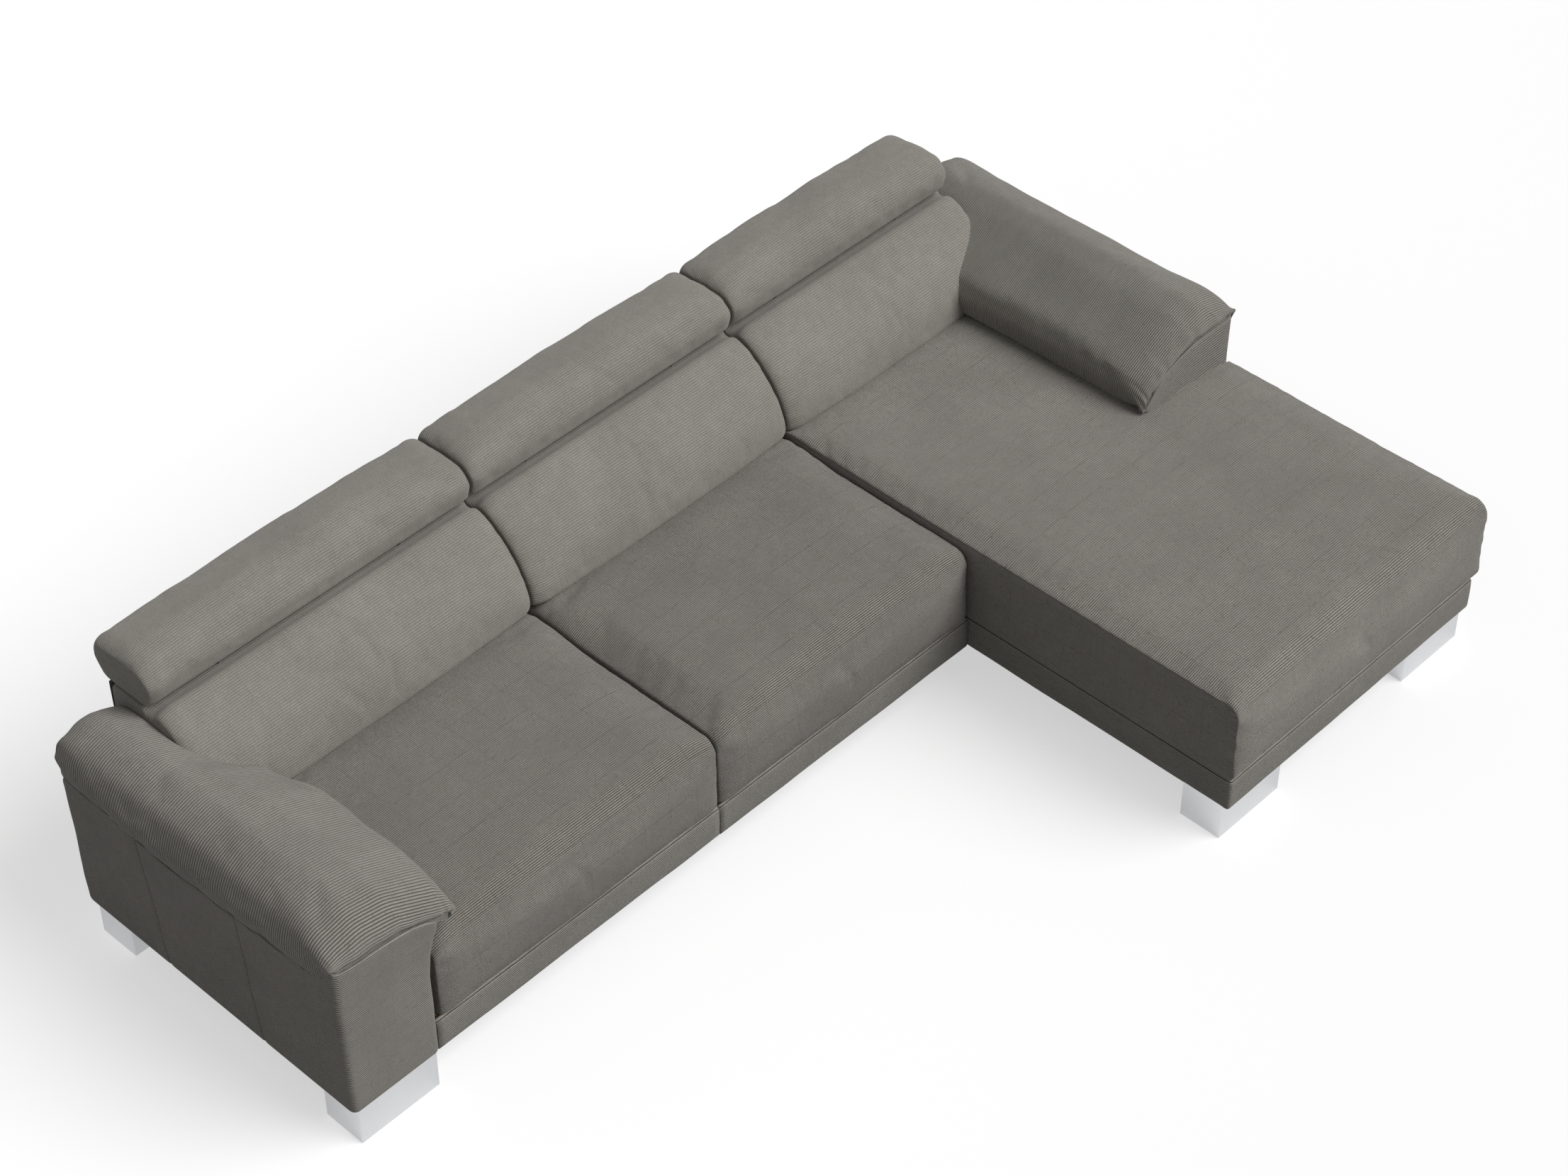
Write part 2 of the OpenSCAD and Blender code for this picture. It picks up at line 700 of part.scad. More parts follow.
module sofa_cross_rails() {
    color(wood) plan() difference() {
        for (x = [seat1_x + 2, seat2_x - rail_t / 2, chaise_x - 2 - rail_t])
            plank([x, rail_front + rail_t], [x + rail_t, frame_y]);
        arm_bolt_holes();
        element_bolt_holes();
    }
}

module chaise_side_rails() {
    color(wood) plan() difference() {
        union() {
            plank([chaise_rail_left, chaise_rail_front], [chaise_side_x, rear_rail_y]);
            plank([chaise_rail_right - rail_t, chaise_rail_front], [chaise_rail_right, chaise_back_y]);
            plank([chaise_inner_rail - rail_t, arm_y + 2 * rail_t], [chaise_inner_rail, rear_rail_y]);
        }
        on_right_arm() arm_bolt_holes();
        element_bolt_holes();
    }
}

module chaise_cross_rails() {
    color(wood) plan() {
        plank([chaise_side_x, chaise_rail_front], [chaise_rail_right - rail_t, chaise_rail_front + rail_t]);
        plank([chaise_side_x, chaise_back_y - rail_t], [chaise_rail_right - rail_t, chaise_back_y]);
        plank([chaise_side_x, frame_y], [chaise_inner_rail - rail_t, rear_rail_y]);
    }
}

module foot_blocks() {
    x = [pad_t + slack + board_t, arm_w - pad_t - slack - board_t];
    y0 = arm_y + panel_t + slack + board_t;
    y1 = arm_back - pad_t / 2 - slack - board_t;
    yc = chaise_rail_front + rail_t;
    deep = foot_d - rail_t - board_t;
    wide = foot_w - 2 * rail_t;
    last = chaise_rail_right - rail_t;
    color(wood) plan() {
        foot_block(feet[0], [x[0], y0], [x[1], y0 + deep]);
        foot_block(feet[1], [x[0], y1 - deep], [x[1], y1]);
        foot_block(feet[2], [chaise_side_x, yc], [chaise_side_x + wide, yc + deep]);
        foot_block(feet[3], [last - wide, yc], [last, yc + deep]);
        foot_block(feet[4], [body_w - x[1], y1 - deep], [body_w - x[0], y1]);
    }
}

module sofa_springs() {
    color(steel) plan() for (x = [seat1_x, seat2_x]) seat_spring_set(x);
}

module chaise_springs() {
    first = chaise_front + 110;
    last = -150;
    color(steel) plan() for (i = [0 : chaise_springs - 1]) {
        y = lerp(first, last, i / (chaise_springs - 1));
        beside_arm = y > arm_y - spring_w;
        translate([0, y, spring_z])
            zigzag(chaise_rail_left + 8,
                beside_arm ? chaise_inner_rail - 8 : chaise_rail_right - 8, spring_turns);
    }
}

module seat_foam_left() { color(foam) plan() seat_foam(seat1_x); }
module seat_foam_middle() { color(foam) plan() seat_foam(seat2_x); }
module chaise_foam() { color(foam) plan() chaise_foams(0); }
module seat_cushion_left() { color(fabric) plan() seat_cushion(seat1_x); }
module seat_cushion_middle() { color(fabric) plan() seat_cushion(seat2_x); }
module chaise_cushion() { color(fabric) plan() chaise_cushion_shape(); }

module band_left() {
    color(fabric) plan() band(seat1_x, seat2_x - soft_gap, seat_front, seat_front + band_t);
}

module band_middle() {
    color(fabric) plan() band(seat2_x + soft_gap, chaise_x - soft_gap, seat_front, seat_front + band_t);
}

module chaise_front_band() {
    color(fabric) plan() band(chaise_x + 2, body_w, chaise_front, chaise_front + band_t);
}

module chaise_left_band() {
    color(fabric) plan() difference() {
        band(chaise_x + 2, chaise_x + 2 + band_t, chaise_rail_front, -8);
        element_bolt_holes();
    }
}

module chaise_right_band() {
    color(fabric) plan() band(body_w - band_t, body_w, chaise_rail_front, arm_y - slack);
}

module back_posts() {
    color(wood) plan() for (i = [0 : 2]) {
        inside = back_inside(i, 2 * pad_t);
        for (x = [inside[0], inside[1] - post_w])
            block([x, post_y, rail_z], [x + post_w, frame_y, top_rail_z]);
    }
}

module back_top_rails() {
    color(wood) plan() for (i = [0 : 2])
        block([back_ends[i][0] + pad_t + 4, post_y, top_rail_z],
            [back_ends[i][1] - pad_t - 4, -12, top_rail_z + top_rail_t]);
}

module back_webbing() {
    strap_h = 50;
    strap_t = 2;
    color(black) plan() for (i = [0 : 2], z = [seat_top + 20, seat_top + 35 + strap_h]) {
        x = back_inside(i, 2 * pad_t);
        block([x[0], post_y - strap_t, z], [x[1], post_y, z + strap_h]);
    }
}

module back_foams() { color(foam) plan() for (i = [0 : 2]) back_foam(i); }
module back_cushion_left() { color(fabric) plan() back_cushion(0); }
module back_cushion_middle() { color(fabric) plan() back_cushion(1); }
module back_cushion_right() { color(fabric) plan() back_cushion(2); }

module sofa_rear_cover() {
    color(fabric) plan() {
        rear_sheet(arm_w + 8, chaise_x - soft_gap / 2, foot_h, arm_h - arm_waist);
        rear_sheet(arm_w + arm_flare + soft_gap, chaise_x - soft_gap / 2, arm_h - arm_waist, arm_h + 4);
        rear_sheet(back_ends[0][0] + 3, chaise_x - soft_gap / 2, arm_h + 4, crest_z);
    }
}

module chaise_rear_cover() {
    color(fabric) plan() {
        rear_sheet(chaise_x + soft_gap / 2, right_arm_x - 8, foot_h, arm_h - arm_waist);
        rear_sheet(chaise_x + soft_gap / 2, right_arm_x - arm_flare - soft_gap,
            arm_h - arm_waist, arm_h + 4);
        rear_sheet(chaise_x + soft_gap / 2, back_ends[2][1] - 3, arm_h + 4, crest_z);
    }
}

left_lip = arm_h - 16;
right_lip = chaise_top + 12;
module left_arm_boards() { color(wood) plan() arm_boards(); }
module left_arm_cover() { color(fabric) plan() arm_cover(); }
module left_arm_front_panel() { color(fabric) plan() arm_front_panel(); }
module left_arm_pillow() { color(fabric) plan() arm_pillow(left_lip); }
module right_arm_boards() { color(wood) plan() on_right_arm() arm_boards(); }
module right_arm_cover() { color(fabric) plan() on_right_arm() arm_cover(); }
module right_arm_front_panel() { color(fabric) plan() on_right_arm() arm_front_panel(); }
module right_arm_pillow() { color(fabric) plan() on_right_arm() arm_pillow(right_lip); }

module front_left_foot() { color(chrome) plan() foot(feet[0]); }
module rear_left_foot() { color(chrome) plan() foot(feet[1]); }
module chaise_left_foot() { color(chrome) plan() foot(feet[2]); }
module chaise_right_foot() { color(chrome) plan() foot(feet[3]); }
module rear_right_foot() { color(chrome) plan() foot(feet[4]); }
module foot_glides() { color(black) plan() for (f = feet) glide(f); }
module foot_bolts() { color(steel) plan() for (f = feet) foot_bolt(f); }

module support_legs() {
    color(black) plan() for (p = legs) translate([p.x, p.y, 0]) {
        cylinder(h = 6, r = leg_r + 4, $fn = 32);
        translate([0, 0, 5]) cylinder(h = rail_z - 5, r = leg_r, $fn = 32);
    }
}

module arm_bolts() {
    color(steel) plan() {
        arm_bolt_set();
        on_right_arm() arm_bolt_set();
    }
}

// Bolts through the two-seat element's last rail, and the plates on the chaise that they grip
hook_y = [lerp(seat_front, 0, 0.29), lerp(seat_front, 0, 0.71)];
hook_z = rail_z + band_h / 2;
plate_side = 2 * rail_t;
module element_bolt_holes() {
    reach = 3 * rail_t;
    for (y = hook_y) translate([chaise_x - reach, y, hook_z]) rotate([0, 90, 0])
        cylinder(h = 2 * reach, r = bolt_r + hole_play, $fn = 24);
}

module element_hook() {
    color(steel) plan() for (y = hook_y) {
        translate([chaise_x - 2 - rail_t - bolt_head, y, hook_z]) rotate([0, 90, 0]) {
            cylinder(h = bolt_head, r = 2 * bolt_r, $fn = 24);
            cylinder(h = bolt_head + 2 * rail_t, r = bolt_r, $fn = 24);
        }
    }
}

module element_plate() {
    color(steel) plan() for (y = hook_y) difference() {
        block([chaise_side_x, y - plate_side / 2, hook_z - plate_side / 2],
            [chaise_side_x + foot_wall, y + plate_side / 2, hook_z + plate_side / 2]);
        element_bolt_holes();
    }
}

module dust_covers() {
    z1 = foot_h + sheet_t;
    color(black) plan() difference() {
        union() {
            block([seat1_x + 3, rail_front, foot_h], [chaise_x - 3, -8, z1]);
            block([chaise_rail_left, chaise_rail_front, foot_h], [chaise_rail_right, chaise_back_y, z1]);
            block([chaise_rail_left, chaise_back_y, foot_h], [chaise_inner_rail, -8, z1]);
            arm_dust_cover(z1);
            on_right_arm() arm_dust_cover(z1);
        }
        for (p = legs) translate([p.x, p.y, 0]) cylinder(h = foot_h + 20, r = leg_r + 1, $fn = 32);
        for (f = feet)
            block([f[0] - 2, f[1] - 2, 0], [f[0] + foot_w + 2, f[1] + foot_d + 2, foot_h + 20]);
    }
}

module arm_dust_cover(z1) {
    block([pad_t + slack, arm_y + panel_t + slack, foot_h],
        [arm_w - pad_t - slack, arm_back - pad_t / 2 - slack, z1]);
}

module hinge_brackets() {
    color(steel) plan() for (i = [0 : 2], x = hinge_places(i)) translate([x, 0, 0]) hinge_bracket();
}

module hinge_pins() {
    color(steel) plan() for (i = [0 : 2], x = hinge_places(i)) translate([x, 0, 0]) hinge_pin();
}

module headrest_left_cushion() { color(fabric) plan() headrest_cushion(0); }
module headrest_middle_cushion() { color(fabric) plan() headrest_cushion(1); }
module headrest_right_cushion() { color(fabric) plan() headrest_cushion(2); }
module headrest_left_board() { color(wood) plan() headrest_board(0); }
module headrest_middle_board() { color(wood) plan() headrest_board(1); }
module headrest_right_board() { color(wood) plan() headrest_board(2); }
module headrest_left_arms() { color(steel) plan() headrest_arms(0); }
module headrest_middle_arms() { color(steel) plan() headrest_arms(1); }
module headrest_right_arms() { color(steel) plan() headrest_arms(2); }

sofa_front_rail();
sofa_rear_rail();
sofa_cross_rails();
chaise_side_rails();
chaise_cross_rails();
foot_blocks();
sofa_springs();
chaise_springs();
seat_foam_left();
seat_foam_middle();
chaise_foam();
seat_cushion_left();
seat_cushion_middle();
chaise_cushion();
band_left();
band_middle();
chaise_front_band();
chaise_left_band();
chaise_right_band();
back_posts();
back_top_rails();
back_webbing();
back_foams();
back_cushion_left();
back_cushion_middle();
back_cushion_right();
sofa_rear_cover();
chaise_rear_cover();
left_arm_boards();
left_arm_cover();
left_arm_front_panel();
left_arm_pillow();
right_arm_boards();
right_arm_cover();
right_arm_front_panel();
right_arm_pillow();
front_left_foot();
rear_left_foot();
chaise_left_foot();
chaise_right_foot();
rear_right_foot();
foot_glides();
foot_bolts();
support_legs();
arm_bolts();
element_hook();
element_plate();
dust_covers();
hinge_brackets();
hinge_pins();
headrest_left_cushion();
headrest_middle_cushion();
headrest_right_cushion();
headrest_left_board();
headrest_middle_board();
headrest_right_board();
headrest_left_arms();
headrest_middle_arms();
headrest_right_arms();
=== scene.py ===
"""Looks of the corner sofa: corduroy upholstery, chrome feet and the studio around them.

Lengths in the builders below are millimetres in the plan of the part's source: x from the left
arm's outer face, y from the foot of the rear covers and negative towards the front, z from the
floor. place() turns them into metres in the frame's own axes.
"""

import json
from math import atan2, cos, dist, exp, pi, radians, sin, sqrt, tan, tanh

import bmesh
import bpy
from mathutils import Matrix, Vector, noise


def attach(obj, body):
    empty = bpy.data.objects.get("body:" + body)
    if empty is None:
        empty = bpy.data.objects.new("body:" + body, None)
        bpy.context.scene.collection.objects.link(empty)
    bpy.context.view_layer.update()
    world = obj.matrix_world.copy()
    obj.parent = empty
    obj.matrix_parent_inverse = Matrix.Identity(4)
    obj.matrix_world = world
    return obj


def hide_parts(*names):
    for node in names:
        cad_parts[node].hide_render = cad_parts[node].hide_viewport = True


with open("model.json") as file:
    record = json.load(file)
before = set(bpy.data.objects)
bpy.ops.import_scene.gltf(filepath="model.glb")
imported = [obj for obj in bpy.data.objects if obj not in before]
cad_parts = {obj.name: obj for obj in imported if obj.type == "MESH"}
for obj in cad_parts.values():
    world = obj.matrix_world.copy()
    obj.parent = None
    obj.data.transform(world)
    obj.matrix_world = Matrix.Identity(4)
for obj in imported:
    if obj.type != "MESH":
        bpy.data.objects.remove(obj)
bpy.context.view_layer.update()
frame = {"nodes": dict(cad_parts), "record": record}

# ---------------- sizes of the part
# the plan: its middle, and places across it from the left arm to the chaise's right side
MID_X, MID_Y = 1400, -780
SEAT_W, CHAISE_W, ARM_W, ARM_GAP = 821, 912, 231, 15
SEAT1_X = ARM_W + ARM_GAP
SEAT2_X = SEAT1_X + SEAT_W
CHAISE_X = SEAT2_X + SEAT_W
BODY_W = CHAISE_X + CHAISE_W
BACK_ENDS = [(161, 1067), (1067, 1888), (1888, 2639)]
PLACES = ("left", "middle", "right")
HALF_GAP = 1.5
# seats, bands below them and arms
SEAT_FRONT, CHAISE_FRONT = -864, -1625
FOOT_H, BAND_TOP, BAND_T = 105, 184.5, 12
SEAT_Z, SEAT_TOP = 190, 407
CHAISE_TOP = SEAT_TOP + 7
ARM_Y, ARM_H, ARM_FLARE, PANEL_T = SEAT_FRONT - 6, 462, 31, 25
PILLOW_H, PILLOW_OUT, PILLOW_IN = 152, 20, 94
# backs, headrests with their axis, and rear covers
BACK_Z, CREST_Z, BACK_FOOT_Z = 415, 626, 430
BACK_FOOT_Y, CREST_Y, BACK_REAR_Y = -299, -128, 18
SEAT_REAR = BACK_FOOT_Y + 94
AXIS_Y, AXIS_Z = -98, 634
UNDER_Z, HEAD_Y, HEAD_REAR, HEAD_T = AXIS_Z - 6, -118, 72, 84
COVER_Z, COVER_LEAN, COVER_T = 618, 27, 5
# spacing of the rings, and of the points round an outline's corner
STEP = 13
CORNER_STEPS = 6


def place(x, y, z):
    return Vector(((x - MID_X) / 1000.0, (y - MID_Y) / 1000.0, z / 1000.0))


def lerp(a, b, t):
    return a + (b - a) * t


def clamp(value):
    return min(1.0, max(0.0, value))


def soft(value):
    """0 below 0, 1 above 1 and smooth between them."""
    t = clamp(value)
    return t * t * (3 - 2 * t)


def curve(rows, at, ease=clamp):
    """Value at a place on straight lines between rows of (place, value)."""
    for (a, va), (b, vb) in zip(rows, rows[1:]):
        if at <= b:
            return lerp(va, vb, ease((at - a) / (b - a)))
    return rows[-1][1]


def table(rows, at):
    """Value at a place, read from rows of (place, value) and smoothed between them."""
    return curve(rows, at, soft)


def arc(cy, cz, r, a0, a1, steps):
    """Points on a circle from one angle to another, in degrees."""
    angles = [radians(lerp(a0, a1, i / steps)) for i in range(steps + 1)]
    return [(cy + r * cos(a), cz + r * sin(a)) for a in angles]


def resample(points, count):
    """The same path as count + 1 points at equal distances."""
    total = [0.0]
    for a, b in zip(points, points[1:]):
        total.append(total[-1] + dist(a, b))
    out = []
    k = 0
    for i in range(count + 1):
        want = total[-1] * i / count
        while k < len(total) - 2 and total[k + 1] < want:
            k += 1
        span = total[k + 1] - total[k]
        t = 0.0 if span == 0 else (want - total[k]) / span
        out.append(tuple(lerp(a, b, t) for a, b in zip(points[k], points[k + 1])))
    return out


def corner_legs(corners):
    """Closed outline of (u, v, radius) corners as legs that run from corner to corner."""
    arcs = []
    n = len(corners)
    for i, (px, py, r) in enumerate(corners):
        if r == 0:
            arcs.append([(px, py)])
            continue
        (ax, ay, _), (bx, by, _) = corners[i - 1], corners[(i + 1) % n]
        to_last = Vector((ax - px, ay - py)).normalized()
        to_next = Vector((bx - px, by - py)).normalized()
        half = to_last.angle(to_next) / 2
        c = Vector((px, py)) + (to_last + to_next).normalized() * r / sin(half)
        a = Vector((px, py)) + to_last * r / tan(half) - c
        b = Vector((px, py)) + to_next * r / tan(half) - c
        a0 = atan2(a.y, a.x)
        turn = (atan2(b.y, b.x) - a0 + pi) % (2 * pi) - pi
        angles = [a0 + turn * k / CORNER_STEPS for k in range(CORNER_STEPS + 1)]
        arcs.append([(c.x + r * cos(w), c.y + r * sin(w)) for w in angles])
    legs = []
    for i in range(n):
        here, after = arcs[i], arcs[(i + 1) % n]
        legs.append(here[len(here) // 2:] + after[:len(after) // 2 + 1])
    return legs


def counts_for(legs, steps):
    """How many stretches each leg is divided into, for a step of its own."""
    return [max(2, round(sum(map(dist, leg, leg[1:])) / s)) for leg, s in zip(legs, steps)]


def ring_of(legs, counts):
    """The points round an outline, with each leg divided into its count."""
    out = []
    for leg, c in zip(legs, counts):
        out += resample(leg, c)[:-1]
    return out


def along(ring):
    """Distance from the ring's first point to each point, and back to the first, in metres."""
    out = [0.0]
    for a, b in zip(ring, ring[1:] + ring[:1]):
        out.append(out[-1] + dist(a, b) / 1000.0)
    return out


def shoulder(t, reach, depth):
    """How far a surface is drawn in at a distance t from its end."""
    k = max(0.0, 1 - t / reach)
    return depth * (1 - sqrt(max(0.0, 1 - k * k)))


def swell(x, x0, x1, power):
    """Share of its crown that a cushion has at x: none at its ends, all of it in the middle."""
    return max(0.0, sin(pi * (x - x0) / (x1 - x0))) ** power


def spread(x0, x1, reach, step=STEP, ends=6):
    """Places between x0 and x1, close together near both ends."""
    side = [reach * (1 - cos(radians(90 * i / ends))) for i in range(ends + 1)]
    inner = max(2, round((x1 - x0 - 2 * reach) / step))
    middle = [x0 + reach + (x1 - x0 - 2 * reach) * i / inner for i in range(1, inner)]
    return [x0 + s for s in side] + middle + [x1 - s for s in reversed(side)]


def add_object(name, data):
    obj = bpy.data.objects.new(name, data)
    bpy.context.scene.collection.objects.link(obj)
    return obj


def end_cloth(p):
    """Ribs of an upright end run along y."""
    return p.y, p.z


class Skin:
    """Closed skin over rings of points. Each end runs to its middle, or joins opposite points.

    cloth(k, i) says where point i of ring k lies on the cloth, in metres: along the ribs and
    across them. cap_cloth(p) says it for a point of an end. pivot is the ring point from which an
    end's opposite points are counted.
    """

    def __init__(self, rings, cloth, cap_cloth=end_cloth, pivot=None, cap_rings=5, flip=False):
        self.points, self.faces, self.uvs = [], [], []
        n, m = self.n, self.m = len(rings[0]), len(rings)
        self.flip = flip
        for ring in rings:
            self.points += ring
        for k in range(m - 1):
            for i in range(n):
                j = (i + 1) % n
                self.face([k * n + i, (k + 1) * n + i, (k + 1) * n + j, k * n + j],
                          [cloth(k, i), cloth(k + 1, i), cloth(k + 1, i + 1), cloth(k, i + 1)])
        for side in (0, 1):
            base = side * (m - 1) * n
            if pivot is not None:
                for j in range(n // 2):
                    around = (base + (pivot + d) % n for d in (j, j + 1, -j - 1, -j))
                    corners = list(dict.fromkeys(around))
                    self.face(corners, [cap_cloth(self.points[c]) for c in corners], side == 1)
                continue
            ring = rings[side * (m - 1)]
            hub = sum(ring, Vector()) / n
            last = [base + i for i in range(n)]
            for c in range(1, cap_rings):
                here = list(range(len(self.points), len(self.points) + n))
                self.points += [p.lerp(hub, c / cap_rings) for p in ring]
                self.cap(last, here, side, cap_cloth)
                last = here
            here = [len(self.points)] * n
            self.points.append(hub.copy())
            self.cap(last, here, side, cap_cloth)

    def cap(self, last, here, side, cap_cloth):
        for i in range(self.n):
            j = (i + 1) % self.n
            corners = [last[i], last[j], here[j], here[i]]
            if here[i] == here[j]:
                corners.pop()
            self.face(corners, [cap_cloth(self.points[c]) for c in corners], side == 1)

    def face(self, corners, uv, turn=False):
        if self.flip != turn:
            corners, uv = corners[::-1], uv[::-1]
        self.faces.append(corners)
        self.uvs += uv

    def make(self, name, material):
        """A smooth mesh whose map "weave" holds the metres along the ribs and across them."""
        mesh = bpy.data.meshes.new(name)
        mesh.from_pydata([tuple(p) for p in self.points], [], self.faces)
        for corner, uv in zip(mesh.uv_layers.new(name="weave").data, self.uvs):
            corner.uv = uv
        mesh.shade_smooth()
        mesh.update()
        mesh.materials.append(material)
        return add_object(name, mesh)


def lay(xs, sections, ref, counts, cap_cloth=end_cloth, **more):
    """Skin over sections that stand across a cushion at xs, its cloth measured along ref."""
    arcs = along(ring_of(ref, counts))
    rings = [[place(x, y, z) for y, z in ring_of(legs, counts)] for x, legs in zip(xs, sections)]
    skin = Skin(rings, lambda k, i: (xs[k] / 1000.0, arcs[i]), cap_cloth, **more)
    skin.arcs = arcs
    return skin


def move_points(mesh, moves):
    for v, p in zip(mesh.vertices, moves):
        v.co = p
    mesh.update()


def lumps(obj, amount, size, seed, keep=lambda co: 1.0):
    """Soft unevenness of stuffed cloth, along the normals, in metres."""
    offset = Vector((seed * 7.31, seed * 3.77, seed * 1.93))
    moves = []
    for v in obj.data.vertices:
        rough = noise.noise(v.co / size + offset) + 0.3 * noise.noise(v.co / (size * 0.4) - offset)
        moves.append(v.co + v.normal * (amount * rough * keep(v.co)))
    move_points(obj.data, moves)


SEAM_WIDTH, PLEAT_START = 0.004, 0.006


def seam_pull(obj, skin, free, depth, pleat, seed, reach=0.022, period=0.019):
    """Draws the cloth in along both end seams and gathers it into small pleats beside them."""
    n, m = skin.n, skin.m
    mesh = obj.data
    moves = [v.co.copy() for v in mesh.vertices]
    for k in range(m):
        for i in free:
            v = mesh.vertices[k * n + i]
            near = min((v.co - mesh.vertices[i].co).length,
                       (v.co - mesh.vertices[(m - 1) * n + i].co).length)
            if near > 4 * reach:
                continue
            groove = depth * exp(-(near / SEAM_WIDTH) ** 2)
            wave = noise.noise(Vector((skin.arcs[i] / period, seed * 5.7, near * 9)))
            gather = pleat * wave * 2 * exp(-near / reach) * min(1.0, near / PLEAT_START)
            moves[k * n + i] = v.co + v.normal * (gather - groove)
    move_points(mesh, moves)


CLOTH = {"quality": 4, "mass": 0.25, "tension_stiffness": 18, "compression_stiffness": 18,
         "shear_stiffness": 8, "bending_stiffness": 1.2, "air_damping": 4, "use_pressure": True,
         "uniform_pressure_force": 3.0, "shrink_min": -0.006, "vertex_group_mass": "held",
         "pin_stiffness": 1}
CLOTH_FRAMES = 16


def puff(obj, skin, first, last, cap=0.008):
    """Cloth simulation: the skin swells a little between its seams, nowhere more than cap.

    Only the ring points from first up to last are free, and the rings at both ends stay.
    """
    mesh = obj.data
    free = {k * skin.n + i for k in range(2, skin.m - 2) for i in range(first, last)}
    group = obj.vertex_groups.new(name="held")
    group.add([i for i in range(len(skin.points)) if i not in free], 1.0, "REPLACE")
    mod = obj.modifiers.new("cloth", "CLOTH")
    for key, value in CLOTH.items():
        setattr(mod.settings, key, value)
    mod.settings.effector_weights.gravity = 0
    mod.collision_settings.use_collision = False
    mod.collision_settings.use_self_collision = False
    mod.point_cache.frame_start = 1
    mod.point_cache.frame_end = CLOTH_FRAMES
    scene = bpy.context.scene
    for f in range(1, CLOTH_FRAMES + 1):
        scene.frame_set(f)
    done = obj.evaluated_get(bpy.context.evaluated_depsgraph_get())
    moved = [v.co.copy() for v in done.to_mesh().vertices]
    done.to_mesh_clear()
    moves = []
    for v, p in zip(mesh.vertices, moved):
        d = p - v.co
        far = max(d.length, 1e-9)
        moves.append(v.co + d * (cap * tanh(far / cap) / far))
    obj.modifiers.remove(mod)
    obj.vertex_groups.remove(group)
    scene.frame_set(1)
    move_points(mesh, moves)


def settle(obj):
    """Applies the modifiers that the piece has."""
    graph = bpy.context.evaluated_depsgraph_get()
    mesh = bpy.data.meshes.new_from_object(obj.evaluated_get(graph))
    obj.modifiers.clear()
    old = obj.data
    obj.data = mesh
    bpy.data.meshes.remove(old)


def smooth_out(obj):
    """One level of subdivision, applied."""
    mod = obj.modifiers.new("smooth", "SUBSURF")
    mod.levels = mod.render_levels = 1
    mod.use_limit_surface = False
    settle(obj)


def carve(obj, *cutters):
    """Cuts the room of other pieces out of a piece."""
    if not cutters:
        return
    for cutter in cutters:
        mod = obj.modifiers.new("carve", "BOOLEAN")
        mod.operation = "DIFFERENCE"
        mod.solver = "EXACT"
        mod.object = cutter
        settle(obj)
    obj.data.set_sharp_from_angle(angle=radians(50))


def prism(points, reach):
    """A plain cutter: an end face, carried on along reach."""
    n = len(points)
    mesh = bpy.data.meshes.new("cutter")
    mesh.from_pydata(points + [p + reach for p in points], [],
                     [(i, (i + 1) % n, n + (i + 1) % n, n + i) for i in range(n)]
                     + [tuple(range(n))[::-1], tuple(range(n, 2 * n))])
    bm = bmesh.new()
    bm.from_mesh(mesh)
    bmesh.ops.recalc_face_normals(bm, faces=bm.faces)
    bm.to_mesh(mesh)
    bm.free()
    return add_object("cutter", mesh)


def block(x0, x1, y0, y1, z0, z1):
    """A plain box as a cutter."""
    foot = [place(x, y, z0) for x, y in ((x0, y0), (x1, y0), (x1, y1), (x0, y1))]
    return prism(foot, place(x0, y0, z1) - foot[0])


def drop(*objs):
    """Deletes cutters after their work."""
    for obj in objs:
        mesh = obj.data
        bpy.data.objects.remove(obj)
        bpy.data.meshes.remove(mesh)


